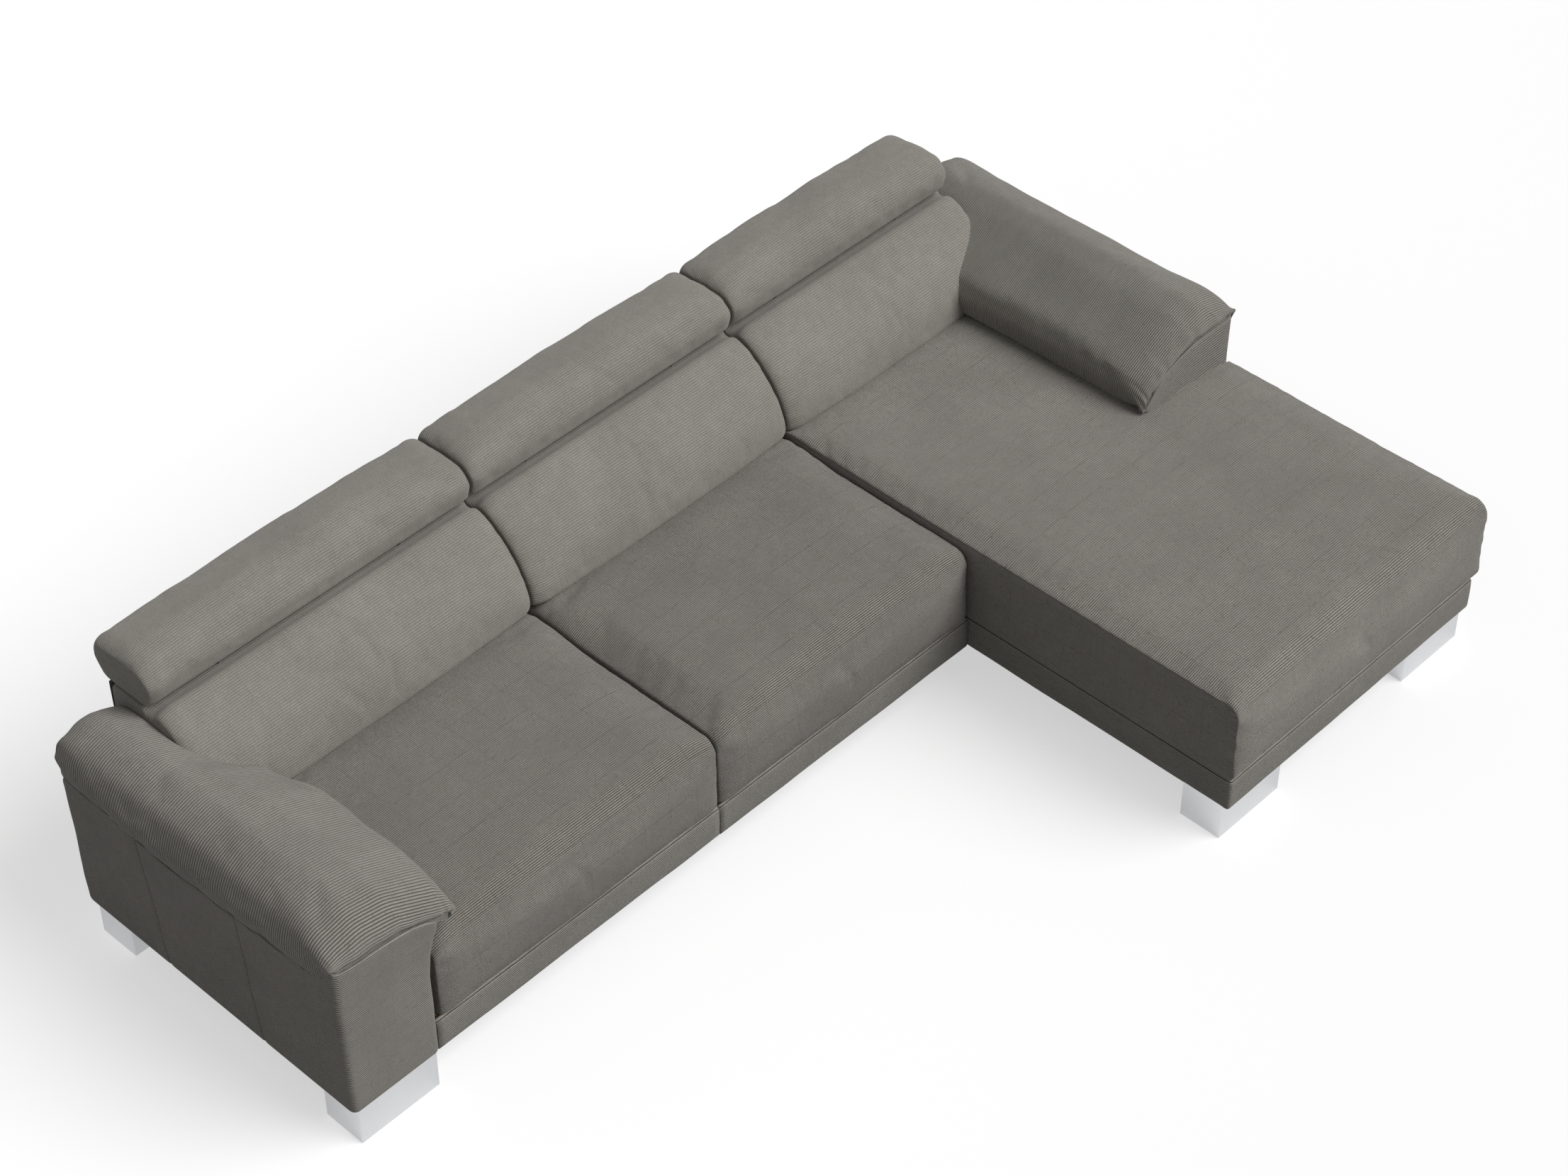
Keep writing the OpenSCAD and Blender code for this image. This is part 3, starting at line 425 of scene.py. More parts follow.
# ---------------- materials
class Nodes:
    """Short way to write the nodes of a material or of the world."""

    def __init__(self, owner):
        owner.use_nodes = True
        self.owner, self.tree = owner, owner.node_tree
        self.tree.nodes.clear()

    def add(self, kind, values=None, **settings):
        node = self.tree.nodes.new(kind)
        for key, value in settings.items():
            setattr(node, key, value)
        for key, value in (values or {}).items():
            if isinstance(value, bpy.types.NodeSocket):
                self.tree.links.new(value, node.inputs[key])
            else:
                node.inputs[key].default_value = value
        return node

    def out(self, kind, values=None, **settings):
        """The first output of a new node."""
        return self.add(kind, values, **settings).outputs[0]

    def body(self):
        """Place on the piece, in metres."""
        return self.add("ShaderNodeTexCoord").outputs["Object"]

    def math(self, operation, a, b=0.0):
        return self.out("ShaderNodeMath", {0: a, 1: b}, operation=operation)

    def times(self, a, b):
        return self.math("MULTIPLY", a, b)

    def off_middle(self, value):
        """Distance of a value's fraction from a half."""
        return self.math("ABSOLUTE", self.math("SUBTRACT", self.math("FRACT", value), 0.5))

    def join(self, x, y, z=0.0):
        return self.out("ShaderNodeCombineXYZ", {0: x, 1: y, 2: z})

    def scaled(self, vector, *scale):
        return self.out("ShaderNodeVectorMath", {0: vector, 1: scale}, operation="MULTIPLY")

    def mix(self, factor, a, b):
        """A colour between two, each a tuple or what another node gives."""
        a, b = ((*c, 1.0) if isinstance(c, tuple) else c for c in (a, b))
        return self.add("ShaderNodeMix", {0: factor, 6: a, 7: b}, data_type="RGBA").outputs[2]

    def noise(self, vector, scale, detail=2.0, roughness=0.5):
        return self.out("ShaderNodeTexNoise", {"Vector": vector, "Scale": scale, "Detail": detail,
                                               "Roughness": roughness})

    def span(self, value, a, b, c=0.0, d=1.0):
        return self.out("ShaderNodeMapRange", {0: value, 1: a, 2: b, 3: c, 4: d})

    def surface(self, colour, roughness, height, distance, strength, more=None, normal=None):
        shader = self.add("ShaderNodeBsdfPrincipled",
                          {"Base Color": colour, "Roughness": roughness, **(more or {})})
        bump = {"Height": height, "Distance": distance, "Strength": strength}
        if normal is not None:
            bump["Normal"] = normal
        self.tree.links.new(self.out("ShaderNodeBump", bump), shader.inputs["Normal"])
        self.add("ShaderNodeOutputMaterial", {0: shader.outputs[0]})
        return self.owner


def material_nodes(name):
    return Nodes(bpy.data.materials.new(name))


# the cloth's dark threads: their spacing and half width along the ribs and across them
THREAD_U, THREAD_V = (0.079, 0.022), (0.084, 0.03)
RIB_WANDER, RIB_ROUND = 0.0012, 2.6
BROWN = (0.165, 0.122, 0.084)
SHEEN_TINT = (0.95, 0.93, 0.9, 1.0)
METAL = {"Metallic": 1.0}


def corduroy(name, high, groove_tone_and_shade, sheen=0.22, rib_width=0.0056, relief=1.7, groove=0.95, grid=0.12,
             flecks=0.55, rough=0.13):
    """Ribbed pile along the cloth's own map.

    high is the tone of the pile and the next argument the tone of the grooves: partly the cloth's
    own darker base, partly painted shade that stands for the shadow falling in the grooves. relief
    is how steep the ribs' sides look, and groove how far up them the dark tone with its painted
    shade reaches. grid, flecks and rough are the shares of the dark threads, the brown flecks and
    the tufts.
    """
    n = material_nodes(name)
    cloth = n.out("ShaderNodeUVMap", uv_map="weave")
    u, v = n.add("ShaderNodeSeparateXYZ", {0: cloth}).outputs[:2]
    body = n.body()
    wander = n.math("SUBTRACT", n.noise(n.join(n.times(u, 40.0), n.times(v, 40.0)), 1.0), 0.5)
    across = n.math("DIVIDE", n.math("ADD", v, n.times(wander, RIB_WANDER)), rib_width)
    rib = n.math("FLOOR", across)
    signed = n.math("SUBTRACT", n.times(n.math("FRACT", across), 2.0), 1.0)
    side = n.math("ABSOLUTE", signed)
    pile = n.math("SUBTRACT", 1.0, n.math("POWER", side, RIB_ROUND))
    lean = n.times(n.times(signed, n.math("POWER", side, 0.6)), 0.5 * relief)
    slope = n.out("ShaderNodeCombineColor", {0: 0.5, 1: n.math("ADD", 0.5, lean), 2: 1.0})
    ribbed = n.out("ShaderNodeNormalMap", {"Color": slope}, space="TANGENT", uv_map="weave")
    tuft = n.noise(n.join(n.times(u, 420.0), rib, n.times(across, 0.35)), 1.0, 3.0)
    fleck = n.noise(n.join(n.times(u, 150.0), n.times(rib, 1.7), 4.0), 1.0)
    cloud = n.noise(body, 5.0, 3.0)
    patch = n.noise(body, 34.0)
    threads = [n.span(n.off_middle(n.math("DIVIDE", at, period)), 0.0, half, 1.0, 0.0)
               for at, (period, half) in ((u, THREAD_U), (v, THREAD_V))]
    thread = n.times(n.math("MAXIMUM", *threads), n.span(patch, 0.4, 0.6))
    tone = n.span(tuft, 0.3, 0.7, 1 - rough, 1 + rough)
    tone = n.times(tone, n.span(cloud, 0.3, 0.7, 0.93, 1.07))
    tone = n.times(tone, n.span(patch, 0.3, 0.7, 0.96, 1.04))
    tone = n.times(tone, n.math("SUBTRACT", 1.0, n.times(thread, grid)))
    # the grooves take their dark tone: partly the cloth's own, partly painted shade in the grooves
    colour = n.mix(n.span(pile, 0.05, groove), groove_tone_and_shade, high)
    colour = n.mix(n.times(n.span(fleck, 0.6, 0.72), flecks), colour, BROWN)
    toned = n.out("ShaderNodeVectorMath", {0: colour, "Scale": tone}, operation="SCALE")
    return n.surface(toned, n.span(pile, 0.0, 1.0, 0.98, 0.86), tuft, 0.0003, 0.8,
                     {"Sheen Weight": sheen, "Sheen Roughness": 0.35, "Sheen Tint": SHEEN_TINT,
                      "Specular IOR Level": 0.2}, ribbed)


# Copies of the one corduroy. Their groove tones hold painted shade: darkest on the arms, bands and
# seats that the light grazes, palest on the backs and headrests, which face the light. The seats'
# copy is darker all over than the chaise's.
TAUPE = corduroy("corduroy_taupe", (0.275, 0.262, 0.233), (0.026, 0.025, 0.022), sheen=0.2,
                 relief=2.2, groove=1.0)
BACK_TAUPE = corduroy("corduroy_back", (0.242, 0.230, 0.205), (0.165, 0.157, 0.141),
                      rib_width=0.0060, relief=0.7, groove=0.8, flecks=0.3)
PILLOW_LEFT = corduroy("corduroy_pillow_left", (0.250, 0.238, 0.213), (0.036, 0.035, 0.031),
                       rib_width=0.0066, relief=2.0, groove=0.8)
PILLOW_RIGHT = corduroy("corduroy_pillow_right", (0.244, 0.233, 0.208), (0.058, 0.056, 0.051),
                        rib_width=0.0053, groove=0.85)
SEAT_TAUPE = corduroy("corduroy_seat", (0.236, 0.223, 0.199), (0.024, 0.023, 0.021), sheen=0.2,
                      rib_width=0.0047, relief=2.2, grid=0.28, flecks=0.75, rough=0.22)
CHAISE_TAUPE = corduroy("corduroy_chaise", (0.252, 0.239, 0.213), (0.062, 0.060, 0.054),
                        rib_width=0.0053, groove=0.9, grid=0.24, flecks=0.7, rough=0.2)
TAUPE_FLAT = corduroy("corduroy_rear", (0.228, 0.216, 0.193), (0.085, 0.081, 0.073))


def chrome_material():
    n = material_nodes("polished_chrome")
    body = n.body()
    smear = n.noise(body, 9.0, 3.0)
    hair = n.noise(n.scaled(body, 900.0, 900.0, 14.0), 1.0)
    colour = n.mix(smear, (0.60, 0.605, 0.62), (0.66, 0.665, 0.675))
    return n.surface(colour, n.span(smear, 0.3, 0.7, 0.06, 0.13), hair, 0.00002, 0.4, METAL)


def wood_material():
    n = material_nodes("sawn_wood")
    body = n.body()
    grain = n.noise(n.scaled(body, 7.0, 60.0, 60.0), 1.0, 5.0, 0.6)
    pores = n.noise(n.scaled(body, 60.0, 900.0, 900.0), 1.0)
    colour = n.mix(n.span(grain, 0.35, 0.65), (0.34, 0.2, 0.095), (0.56, 0.39, 0.22))
    colour = n.mix(n.span(pores, 0.5, 0.75, 0.0, 0.4), colour, (0.25, 0.14, 0.06))
    return n.surface(colour, n.span(grain, 0.3, 0.7, 0.62, 0.8), pores, 0.0004, 0.6)


def foam_material():
    n = material_nodes("open_cell_foam")
    body = n.body()
    cells = n.add("ShaderNodeTexVoronoi", {"Vector": body, "Scale": 520.0}).outputs["Distance"]
    cloud = n.noise(body, 12.0, 3.0)
    colour = n.mix(n.span(cloud, 0.3, 0.7), (0.74, 0.66, 0.42), (0.82, 0.76, 0.55))
    return n.surface(colour, n.span(cells, 0.0, 0.6, 0.97, 0.88), cells, 0.0012, 1.0)


def woven_material(name, light, dark, pitch):
    """Plain weave of straps and of the cloth under the seats."""
    n = material_nodes(name)
    body = n.body()
    split = n.add("ShaderNodeSeparateXYZ", {0: body}).outputs
    x, y, z = (n.math("SINE", n.times(axis, 2 * pi / pitch)) for axis in split)
    weave = n.times(x, n.math("ADD", y, z))
    fuzz = n.noise(body, 700.0)
    colour = n.mix(n.times(n.span(weave, -1.0, 1.0), fuzz), dark, light)
    return n.surface(colour, n.span(fuzz, 0.3, 0.7, 0.85, 0.97), weave, 0.0005, 1.0)


def steel_material():
    n = material_nodes("zinc_plated_steel")
    body = n.body()
    cloud = n.noise(body, 60.0, 4.0, 0.6)
    grit = n.noise(body, 1500.0, 1.0)
    colour = n.mix(n.span(cloud, 0.35, 0.65), (0.40, 0.41, 0.43), (0.56, 0.57, 0.58))
    return n.surface(colour, n.span(cloud, 0.3, 0.7, 0.3, 0.48), grit, 0.00006, 0.5, METAL)


def plastic_material():
    n = material_nodes("moulded_plastic")
    body = n.body()
    grit = n.noise(body, 900.0, 3.0, 0.7)
    cloud = n.noise(body, 25.0)
    colour = n.mix(cloud, (0.018, 0.018, 0.019), (0.032, 0.032, 0.033))
    return n.surface(colour, n.span(grit, 0.3, 0.7, 0.42, 0.6), grit, 0.00012, 0.6)


FINISH = {
    "chrome": chrome_material(),
    "wood": wood_material(),
    "foam": foam_material(),
    "steel": steel_material(),
    "black_plastic": plastic_material(),
    "dust_cloth": woven_material("dust_cloth_black", (0.05, 0.05, 0.052), (0.018, 0.018, 0.019),
                                 0.0022),
    "webbing": woven_material("elastic_webbing", (0.12, 0.12, 0.125), (0.03, 0.03, 0.032), 0.0035),
    "corduroy": TAUPE,
    "rear_fabric": TAUPE_FLAT,
}
for part in frame["record"]["subparts"]:
    for material_slot in frame["nodes"][part["node"]].material_slots:
        material_slot.material = FINISH[part["material_slot"]]


def finish_piece(piece, nodes, body="sofa"):
    """Puts a piece on its body, in place of its CAD nodes."""
    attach(piece, body)
    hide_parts(*nodes)


# ---------------- seats
SEAT_ROLL, SEAT_REAR_R = 38, 15
CHAISE_OUT = 18
# reach and depth of the rounding at a seat's ends
SEAT_ENDS, CHAISE_ENDS = (60, 26), (18, 11)
FACE_STEPS, LID_STEPS, LID_RISE = 6, 24, 16


def seat_legs(front, top, crown, bulge, draw, front_draw):
    """Section of a seat in y and z: front face, roll, lid, the part below the back, and rear."""
    y0, z1 = front + front_draw, top - draw
    face = [(y0 + 8, SEAT_Z - 1.5), (y0 + 2, SEAT_Z + 1), (y0 - 2, SEAT_Z + 8)]
    face += [(y0 - 3 * (1 - t / FACE_STEPS) - bulge * sin(pi * t / FACE_STEPS),
              lerp(SEAT_Z + 14, z1 - SEAT_ROLL, t / FACE_STEPS)) for t in range(FACE_STEPS + 1)]
    roll = arc(y0 + SEAT_ROLL, z1 - SEAT_ROLL, SEAT_ROLL, 180, 97, 10)
    meet = BACK_Z + 1 - top
    lid = [roll[-1]]
    lid += [(lerp(y0 + SEAT_ROLL, BACK_FOOT_Y, t / LID_STEPS),
             z1 + crown * sin(pi * t / LID_STEPS) + meet * soft((t - LID_RISE) / 6))
            for t in range(1, LID_STEPS + 1)]
    rear_top, rear_y = min(z1, SEAT_TOP), SEAT_REAR - SEAT_REAR_R
    tail = [lid[-1], (BACK_FOOT_Y + 8, rear_top), (rear_y, rear_top)]
    rear = arc(rear_y, rear_top - SEAT_REAR_R, SEAT_REAR_R, 90, 0, 4) + [(SEAT_REAR, SEAT_Z)]
    return [face, roll, lid, tail, rear, [(SEAT_REAR, SEAT_Z), (face[0][0], SEAT_Z)]]


def seat(name, x0, x1, front, top, crown, bulge, corner, seed, ends, material, cutters=()):
    ref = seat_legs(front, top, crown, bulge, 0, 0)
    counts = counts_for(ref, [STEP, 7, STEP, 25, 30, 40])
    seen = sum(counts[:3])
    xs = spread(x0, x1, ends[0])
    sections = []
    for x in xs:
        t, share = min(x - x0, x1 - x), swell(x, x0, x1, 0.7)
        sections.append(seat_legs(front, top, crown * share, bulge * share, shoulder(t, *ends),
                                  shoulder(t, *corner)))
    skin = lay(xs, sections, ref, counts)
    obj = skin.make(name, material)
    puff(obj, skin, 1, seen)
    lumps(obj, 0.0022, 0.19, seed, lambda co: clamp((co.z - 0.2) / 0.1))
    seam_pull(obj, skin, range(seen + 1), 0.003, 0.0012, seed)
    smooth_out(obj)
    carve(obj, *cutters)
    return obj


notch = block(2550, 2900, ARM_Y - 0.5, 50, 100, 600)
for side, x0, x1, corner, seed in (("left", SEAT1_X, SEAT2_X, (30, 12), 1),
                                   ("middle", SEAT2_X, CHAISE_X, (34, 16), 2)):
    piece = seat("seat_" + side, x0 + HALF_GAP, x1 - HALF_GAP, SEAT_FRONT, SEAT_TOP, 22, 5,
                 corner, seed, SEAT_ENDS, SEAT_TAUPE)
    finish_piece(piece, ["seat_cushion_" + side])
piece = seat("chaise_seat", CHAISE_X + HALF_GAP, BODY_W + CHAISE_OUT, CHAISE_FRONT, CHAISE_TOP,
             14, 7, (9, 4), 3, CHAISE_ENDS, CHAISE_TAUPE, (notch,))
finish_piece(piece, ["chaise_cushion"])
drop(notch)

# ---------------- back cushions
BACK_REACH, BACK_DRAW = 45, 20
BACK_CROWN = 10
# power in the curve of the front: below 2 it bulges over a straight slope
BACK_SHAPE = 2 / 1.5


def back_legs(draw, crown):
    """Section of a back in y and z: bulging front, lid with the headrest's trough, and rear."""
    deep = CREST_Y - BACK_FOOT_Y - draw + crown
    high = CREST_Z - BACK_FOOT_Z - draw
    rise = [radians(a) for a in (*range(0, 81, 8), 86, 90)]
    face = [(CREST_Y - deep + 9, BACK_Z - 5), (CREST_Y - deep + 2, BACK_Z + 3)]
    face += [(CREST_Y - deep * cos(a) ** BACK_SHAPE,
              BACK_FOOT_Z + high * sin(a) ** BACK_SHAPE) for a in rise]
    down = 0.35 * draw
    lid = [face[-1], (AXIS_Y - 20, CREST_Z - 5 - draw), (AXIS_Y - 12, CREST_Z - 12 - draw),
           (AXIS_Y + 6, CREST_Z - 12 - draw), (AXIS_Y + 18, CREST_Z - 8 - down),
           (AXIS_Y + 32, CREST_Z - 4 - down), (BACK_REAR_Y - 6, CREST_Z - 4 - down),
           (BACK_REAR_Y, CREST_Z - 12 - down)]
    rear = [lid[-1], (BACK_REAR_Y, BACK_Z + 8), (BACK_REAR_Y - 8, BACK_Z - 5)]
    return [face, lid, rear, [rear[-1], face[0]]]


def back_sections(x0, x1, xs, crown, draw=0):
    """Sections at xs of a back that runs from x0 to x1."""
    return [back_legs(shoulder(min(x - x0, x1 - x), BACK_REACH, BACK_DRAW) + draw,
                      crown * swell(x, x0, x1, 0.7)) for x in xs]


SLOPE = Vector((CREST_Y - BACK_FOOT_Y, CREST_Z - BACK_FOOT_Z)).normalized()


def slope_cloth(p):
    """Ribs of an end strip run along the slope of the back."""
    return p.y * SLOPE.x + p.z * SLOPE.y, p.y * SLOPE.y - p.z * SLOPE.x


def back_cushion(name, x0, x1, seed, cutters):
    ref = back_legs(0, BACK_CROWN)
    counts = counts_for(ref, [11, 9, 25, 40])
    xs = spread(x0, x1, BACK_REACH)
    skin = lay(xs, back_sections(x0, x1, xs, BACK_CROWN), ref, counts, slope_cloth)
    obj = skin.make(name, BACK_TAUPE)
    puff(obj, skin, 2, counts[0] - 1, 0.006)
    lumps(obj, 0.0018, 0.16, seed, lambda co: float(co.z > 0.43 and co.y < 0.64))
    seam_pull(obj, skin, range(counts[0] + 1), 0.003, 0.0012, seed)
    smooth_out(obj)
    carve(obj, *cutters)
    return obj


# room for the arms' upper edges below the outer ends of the backs
ROOM_X, ROOM_Y, ROOM_Z = 263.5, (-500, 100), (380, 463.5)
left_room = block(-100, ROOM_X, *ROOM_Y, *ROOM_Z)
right_room = block(BODY_W - ROOM_X, BODY_W + 100, *ROOM_Y, *ROOM_Z)
for (x0, x1), side, seed, rooms in zip(BACK_ENDS, PLACES, (11, 12, 13),
                                       ((left_room,), (), (right_room,))):
    piece = back_cushion("back_" + side, x0 + HALF_GAP, x1 - HALF_GAP, seed, rooms)
    finish_piece(piece, ["back_cushion_" + side])
drop(left_room, right_room)

# ---------------- headrests
HEAD_REACH, HEAD_DRAW = 34, 12
HEAD_CROWN, HEAD_GAP = 27, 2


def head_legs(draw, crown):
    """Section of a headrest in y and z, from the foot of its front round by the rear."""
    mid_y, top = (HEAD_Y + HEAD_REAR) / 2, UNDER_Z + HEAD_T
    return corner_legs([
        (HEAD_Y + 7 + draw, UNDER_Z + 8, 6), (AXIS_Y, UNDER_Z, 10), (HEAD_REAR - 45, UNDER_Z, 20),
        (HEAD_REAR - 12 - draw, UNDER_Z + 12, 10), (HEAD_REAR + 4 - draw, UNDER_Z + 40, 14),
        (HEAD_REAR + 4 - draw, top - 3 + 0.42 * crown - draw, 18),
        (mid_y - 6, top + 3 + crown - draw, 60),
        (HEAD_Y + 27 + draw, top + 0.6 * crown - draw, 33),
        (HEAD_Y - 3 + draw, UNDER_Z + 0.58 * HEAD_T, 25)])


def headrest(name, x0, x1, seed):
    ref = head_legs(0, 20)
    counts = counts_for(ref, [14, 20, 12, 9, 9, 10, 10, 9, 9])
    first, last = sum(counts[:3]), sum(counts)
    xs = spread(x0, x1, HEAD_REACH)
    sections = [head_legs(shoulder(min(x - x0, x1 - x), HEAD_REACH, HEAD_DRAW),
                          HEAD_CROWN * swell(x, x0, x1, 0.5)) for x in xs]
    skin = lay(xs, sections, ref, counts, flip=True)
    obj = skin.make(name, BACK_TAUPE)
    puff(obj, skin, first, last - 1, 0.006)
    lumps(obj, 0.0034, 0.13, seed, lambda co: clamp((co.z - 0.65) / 0.04))
    seam_pull(obj, skin, [0, *range(first, last)], 0.0025, 0.001, seed, 0.016)
    smooth_out(obj)
    return obj


for (x0, x1), side, seed in zip(BACK_ENDS, PLACES, (21, 22, 23)):
    piece = headrest("headrest_pad_" + side, x0 + HEAD_GAP, x1 - HEAD_GAP, seed)
    finish_piece(piece, ["headrest_" + side + "_cushion"], "headrest_" + side)

# ---------------- arms
# each side seam as (y, z) at its top and at its foot, and the groove that it draws in
SIDE_SEAMS = [((-248, 464), (-285, 99)), ((-564, 477), (-589, 102))]
SEAM_DEPTH, SEAM_HALF = 4.2, 2
# the level up to which an arm's rings are flat, and above which they follow its upper edge
KNEE_T, KNEE_Z = 0.72, 412
# upper edges of the front panels, and the pillows' lips beyond them, as (x, z)
PANEL_EDGE_LEFT = [(-16, 547), (14, 538), (58, 531), (102, 529), (147, 524), (192, 517),
                   (227, 504), (262, 484)]
PANEL_EDGE_RIGHT = [(-16, 556), (15, 547), (76, 548), (136, 547), (193, 535), (249, 511),
                    (271, 495), (291, 470), (306, 448), (312, 428)]
LIP_LEFT = [(278, 474), (320, 470)]
LIP_RIGHT = [(320, 425), (330, 424)]
# x of the outer and the inner side, as (z, x)
OUTER = [(FOOT_H, -4), (200, -7), (320, -9), (430, -12), (500, -15), (540, -15)]
INNER_TOP = 484
INNER = [(FOOT_H, ARM_W + 2), (238, ARM_W + 1), (330, ARM_W), (400, ARM_W + 6),
         (432, ARM_W + 16), (462, ARM_W + 29), (INNER_TOP, ARM_W + 31)]
OUTER_R, INNER_R, REAR_R = 15, 11, 12
SIDE_Y = -400


def seam_at(seam, z):
    (ya, za), (yb, zb) = seam
    return lerp(yb, ya, (z - zb) / (za - zb))


def arm_side_top(y):
    """Height at which the pillow meets the arm's outer side."""
    return table([(ARM_Y, 547), (-842, 513), (-757, 492), (-675, 489), (-568, 480), (-460, 475),
                  (-350, 471), (-253, 478), (-133, 490), (5, 486)], y)


def arm_top(edge, x, y):
    """Upper edge of an arm: its front panel, its raised outer side and its lower inner side."""
    behind = lerp(arm_side_top(y), ARM_H - 1.5, soft((x - 8) / 30))
    return lerp(curve(edge, x), behind, soft((y - ARM_Y - 4) / 30))


def arm_z(edge, x, y, t):
    """Level t of the arm, from 0 at its foot to 1 at its upper edge."""
    if t <= KNEE_T:
        return lerp(FOOT_H - 3, KNEE_Z, t / KNEE_T)
    return lerp(KNEE_Z, arm_top(edge, x, y), (t - KNEE_T) / (1 - KNEE_T))


def arm_outline(edge, t, inset, tuck):
    """Points round an arm at one level: front face, inner side, back and outer side.

    inset moves them inwards and tuck pulls in the foot and the upper edge.
    """
    r_out, r_in, r_rear = (max(3.0, r - inset) for r in (OUTER_R, INNER_R, REAR_R))
    y0, y1 = ARM_Y + inset + tuck, -6.0 - inset - tuck
    above = max(0.0, (t - KNEE_T) / (1 - KNEE_T))
    end_x = edge[-1][0]
    wide = end_x > ARM_W + ARM_FLARE
    z_side = arm_z(edge, 0.0, SIDE_Y, t)
    xl0 = table(OUTER, z_side) + inset + tuck
    z_inner = lerp(KNEE_Z, INNER_TOP, above) if above > 0 else arm_z(edge, 0, 0, t)
    xr0 = table(INNER, z_inner) - inset - tuck
    xf0 = lerp(end_x - 16, end_x, above) - inset - tuck if above > 0 and wide else xr0
    path = [(lerp(xl0 + r_out, xf0 - r_in, q / 22), y0) for q in range(23)]
    path += arc(xf0 - r_in, y0 + r_in, r_in, -90, 0, 3)[1:]
    for q in range(1, 29):
        y = lerp(y0 + r_in, y1 - r_rear, (q / 28) ** 1.3)
        path.append((lerp(xf0, xr0, soft((y - ARM_Y - 22) / 30)), y))
    path += arc(xr0 - r_rear, y1 - r_rear, r_rear, 0, 90, 3)[1:]
    path += [(lerp(xr0 - r_rear, xl0 + r_rear, q / 12), y1) for q in range(1, 13)]
    path += arc(xl0 + r_rear, y1 - r_rear, r_rear, 90, 180, 3)[1:]
    stops = [y1 - r_rear]
    for seam in SIDE_SEAMS:
        stops += [seam_at(seam, z_side) + d for d in (7, 2.5, 0, -2.5, -7)]
    stops.append(y0 + r_out)
    for k, (a, b) in enumerate(zip(stops, stops[1:])):
        pieces = {0: 18, 5: 20, 10: 18}.get(k, 1)
        for q in range(1, pieces + 1):
            y = lerp(a, b, q / pieces)
            groove = sum(SEAM_DEPTH * exp(-((y - seam_at(seam, z_side)) / SEAM_HALF) ** 2)
                         for seam in SIDE_SEAMS)
            path.append((xl0 + (groove if inset == 0 else 0), y))
    path += arc(xl0 + r_out, y0 + r_out, r_out, 180, 260, 4)[1:]
    return [(x, y, arm_z(edge, x, y, t)) for x, y in path]


def arm_body(name, edge, mirrored, rise, seed):
    """Arm with its raised front panel, as levels from its foot to its top.

    rise is the height over which the panel's ribs climb above the knee.
    """
    levels = [(0.0, 8.0), (0.006, 3.5), (0.018, 1.0)]
    levels += [(KNEE_T * q / 22, 0.0) for q in range(1, 23)]
    levels += [(lerp(KNEE_T, 1.0, q), 0.0)
               for q in (0.02, 0.1, 0.2, 0.3, 0.4, 0.5, 0.6, 0.7, 0.8, 0.9)]
    levels += [(0.992, 0.8), (1.0, 3.0)]
    rings = [arm_outline(edge, t, 0, tuck) for t, tuck in levels]
    faces_end = len(rings)
    rings.append(arm_outline(edge, 1.0, 0, 3.4))
    rings.append([(x, y, z - 1) for x, y, z in arm_outline(edge, 1.0, PANEL_T - 3, 0)])
    rings.append([(x, y, min(ARM_H - 1.5, z - 1))
                  for x, y, z in arm_outline(edge, 1.0, PANEL_T, 0)])
    arcs = along([(x, y) for x, y, z in arm_outline(edge, 0.5, 0, 0)])
    n = len(rings[0])

    def cloth(k, i):
        x, y, z = rings[k][i % n]
        if k >= faces_end:
            return z / 1000.0 + (k - faces_end) * 0.02, arcs[i]
        level = levels[k][0]
        front = KNEE_Z + rise * (level - KNEE_T) / (1 - KNEE_T) if level > KNEE_T else z
        return arcs[i], lerp(front, z, clamp((y - ARM_Y - 1) / 14)) / 1000.0

    skin = Skin([[place(BODY_W - x if mirrored else x, y, z) for x, y, z in ring]
                 for ring in rings], cloth, lambda p: (p.y, p.x), cap_rings=3, flip=not mirrored)
    obj = skin.make(name, TAUPE)
    lumps(obj, 0.0022, 0.16, seed,
          lambda co: soft((co.z - 0.11) / 0.08) - 0.8 * soft((co.z - 0.4) / 0.06))
    smooth_out(obj)
    return obj


for side, edge, rise, seed in (("left", PANEL_EDGE_LEFT, 133, 31),
                               ("right", PANEL_EDGE_RIGHT, 95, 32)):
    piece = arm_body("arm_" + side, edge, side == "right", rise, seed)
    finish_piece(piece, [side + "_arm_cover", side + "_arm_front_panel"])

# ---------------- arm pillows
PILLOW_FRONT, PILLOW_REAR = ARM_Y + 5.0, 2.0
OVERHANG = 13
FRONT_ROLL, REAR_ROLL, REAR_DRAW = 105, 60, 24
PILLOW_CROWN = 6
# a pillow's inner edge: how far it stands out, and its share of the filled section, as (y, value)
INNER_LEFT = [(-878, -10), (-840, -6), (-759, 0), (-651, 4), (-513, 6), (-410, 2), (-313, -12),
              (2, -12)]
FULL_LEFT = [(-870, 0.35), (-780, 0.85), (-690, 1.0), (-480, 1.0), (-330, 0.45), (-250, 0.0),
             (2, 0.0)]
INNER_RIGHT = [(-878, -10), (-840, -6), (-759, -2), (2, 4)]
FULL_RIGHT = [(-870, 0.6), (-780, 0.9), (-690, 1.0), (-400, 1.0), (-230, 0.4), (2, 0.2)]
# height and radius of the inner edge, the shoulder (x, z, radius) and the end of the top (x, z)
FLAT_LEFT = (480, 18, 262, 492, 20, 150, 586)
FILLED_LEFT = (496, 24, 297, 548, 50, 170, 606)
FLAT_RIGHT = (464, 24, 286, 500, 40, 142, 592)
FILLED_RIGHT = (484, 34, 304, 520, 45, 150, 598)
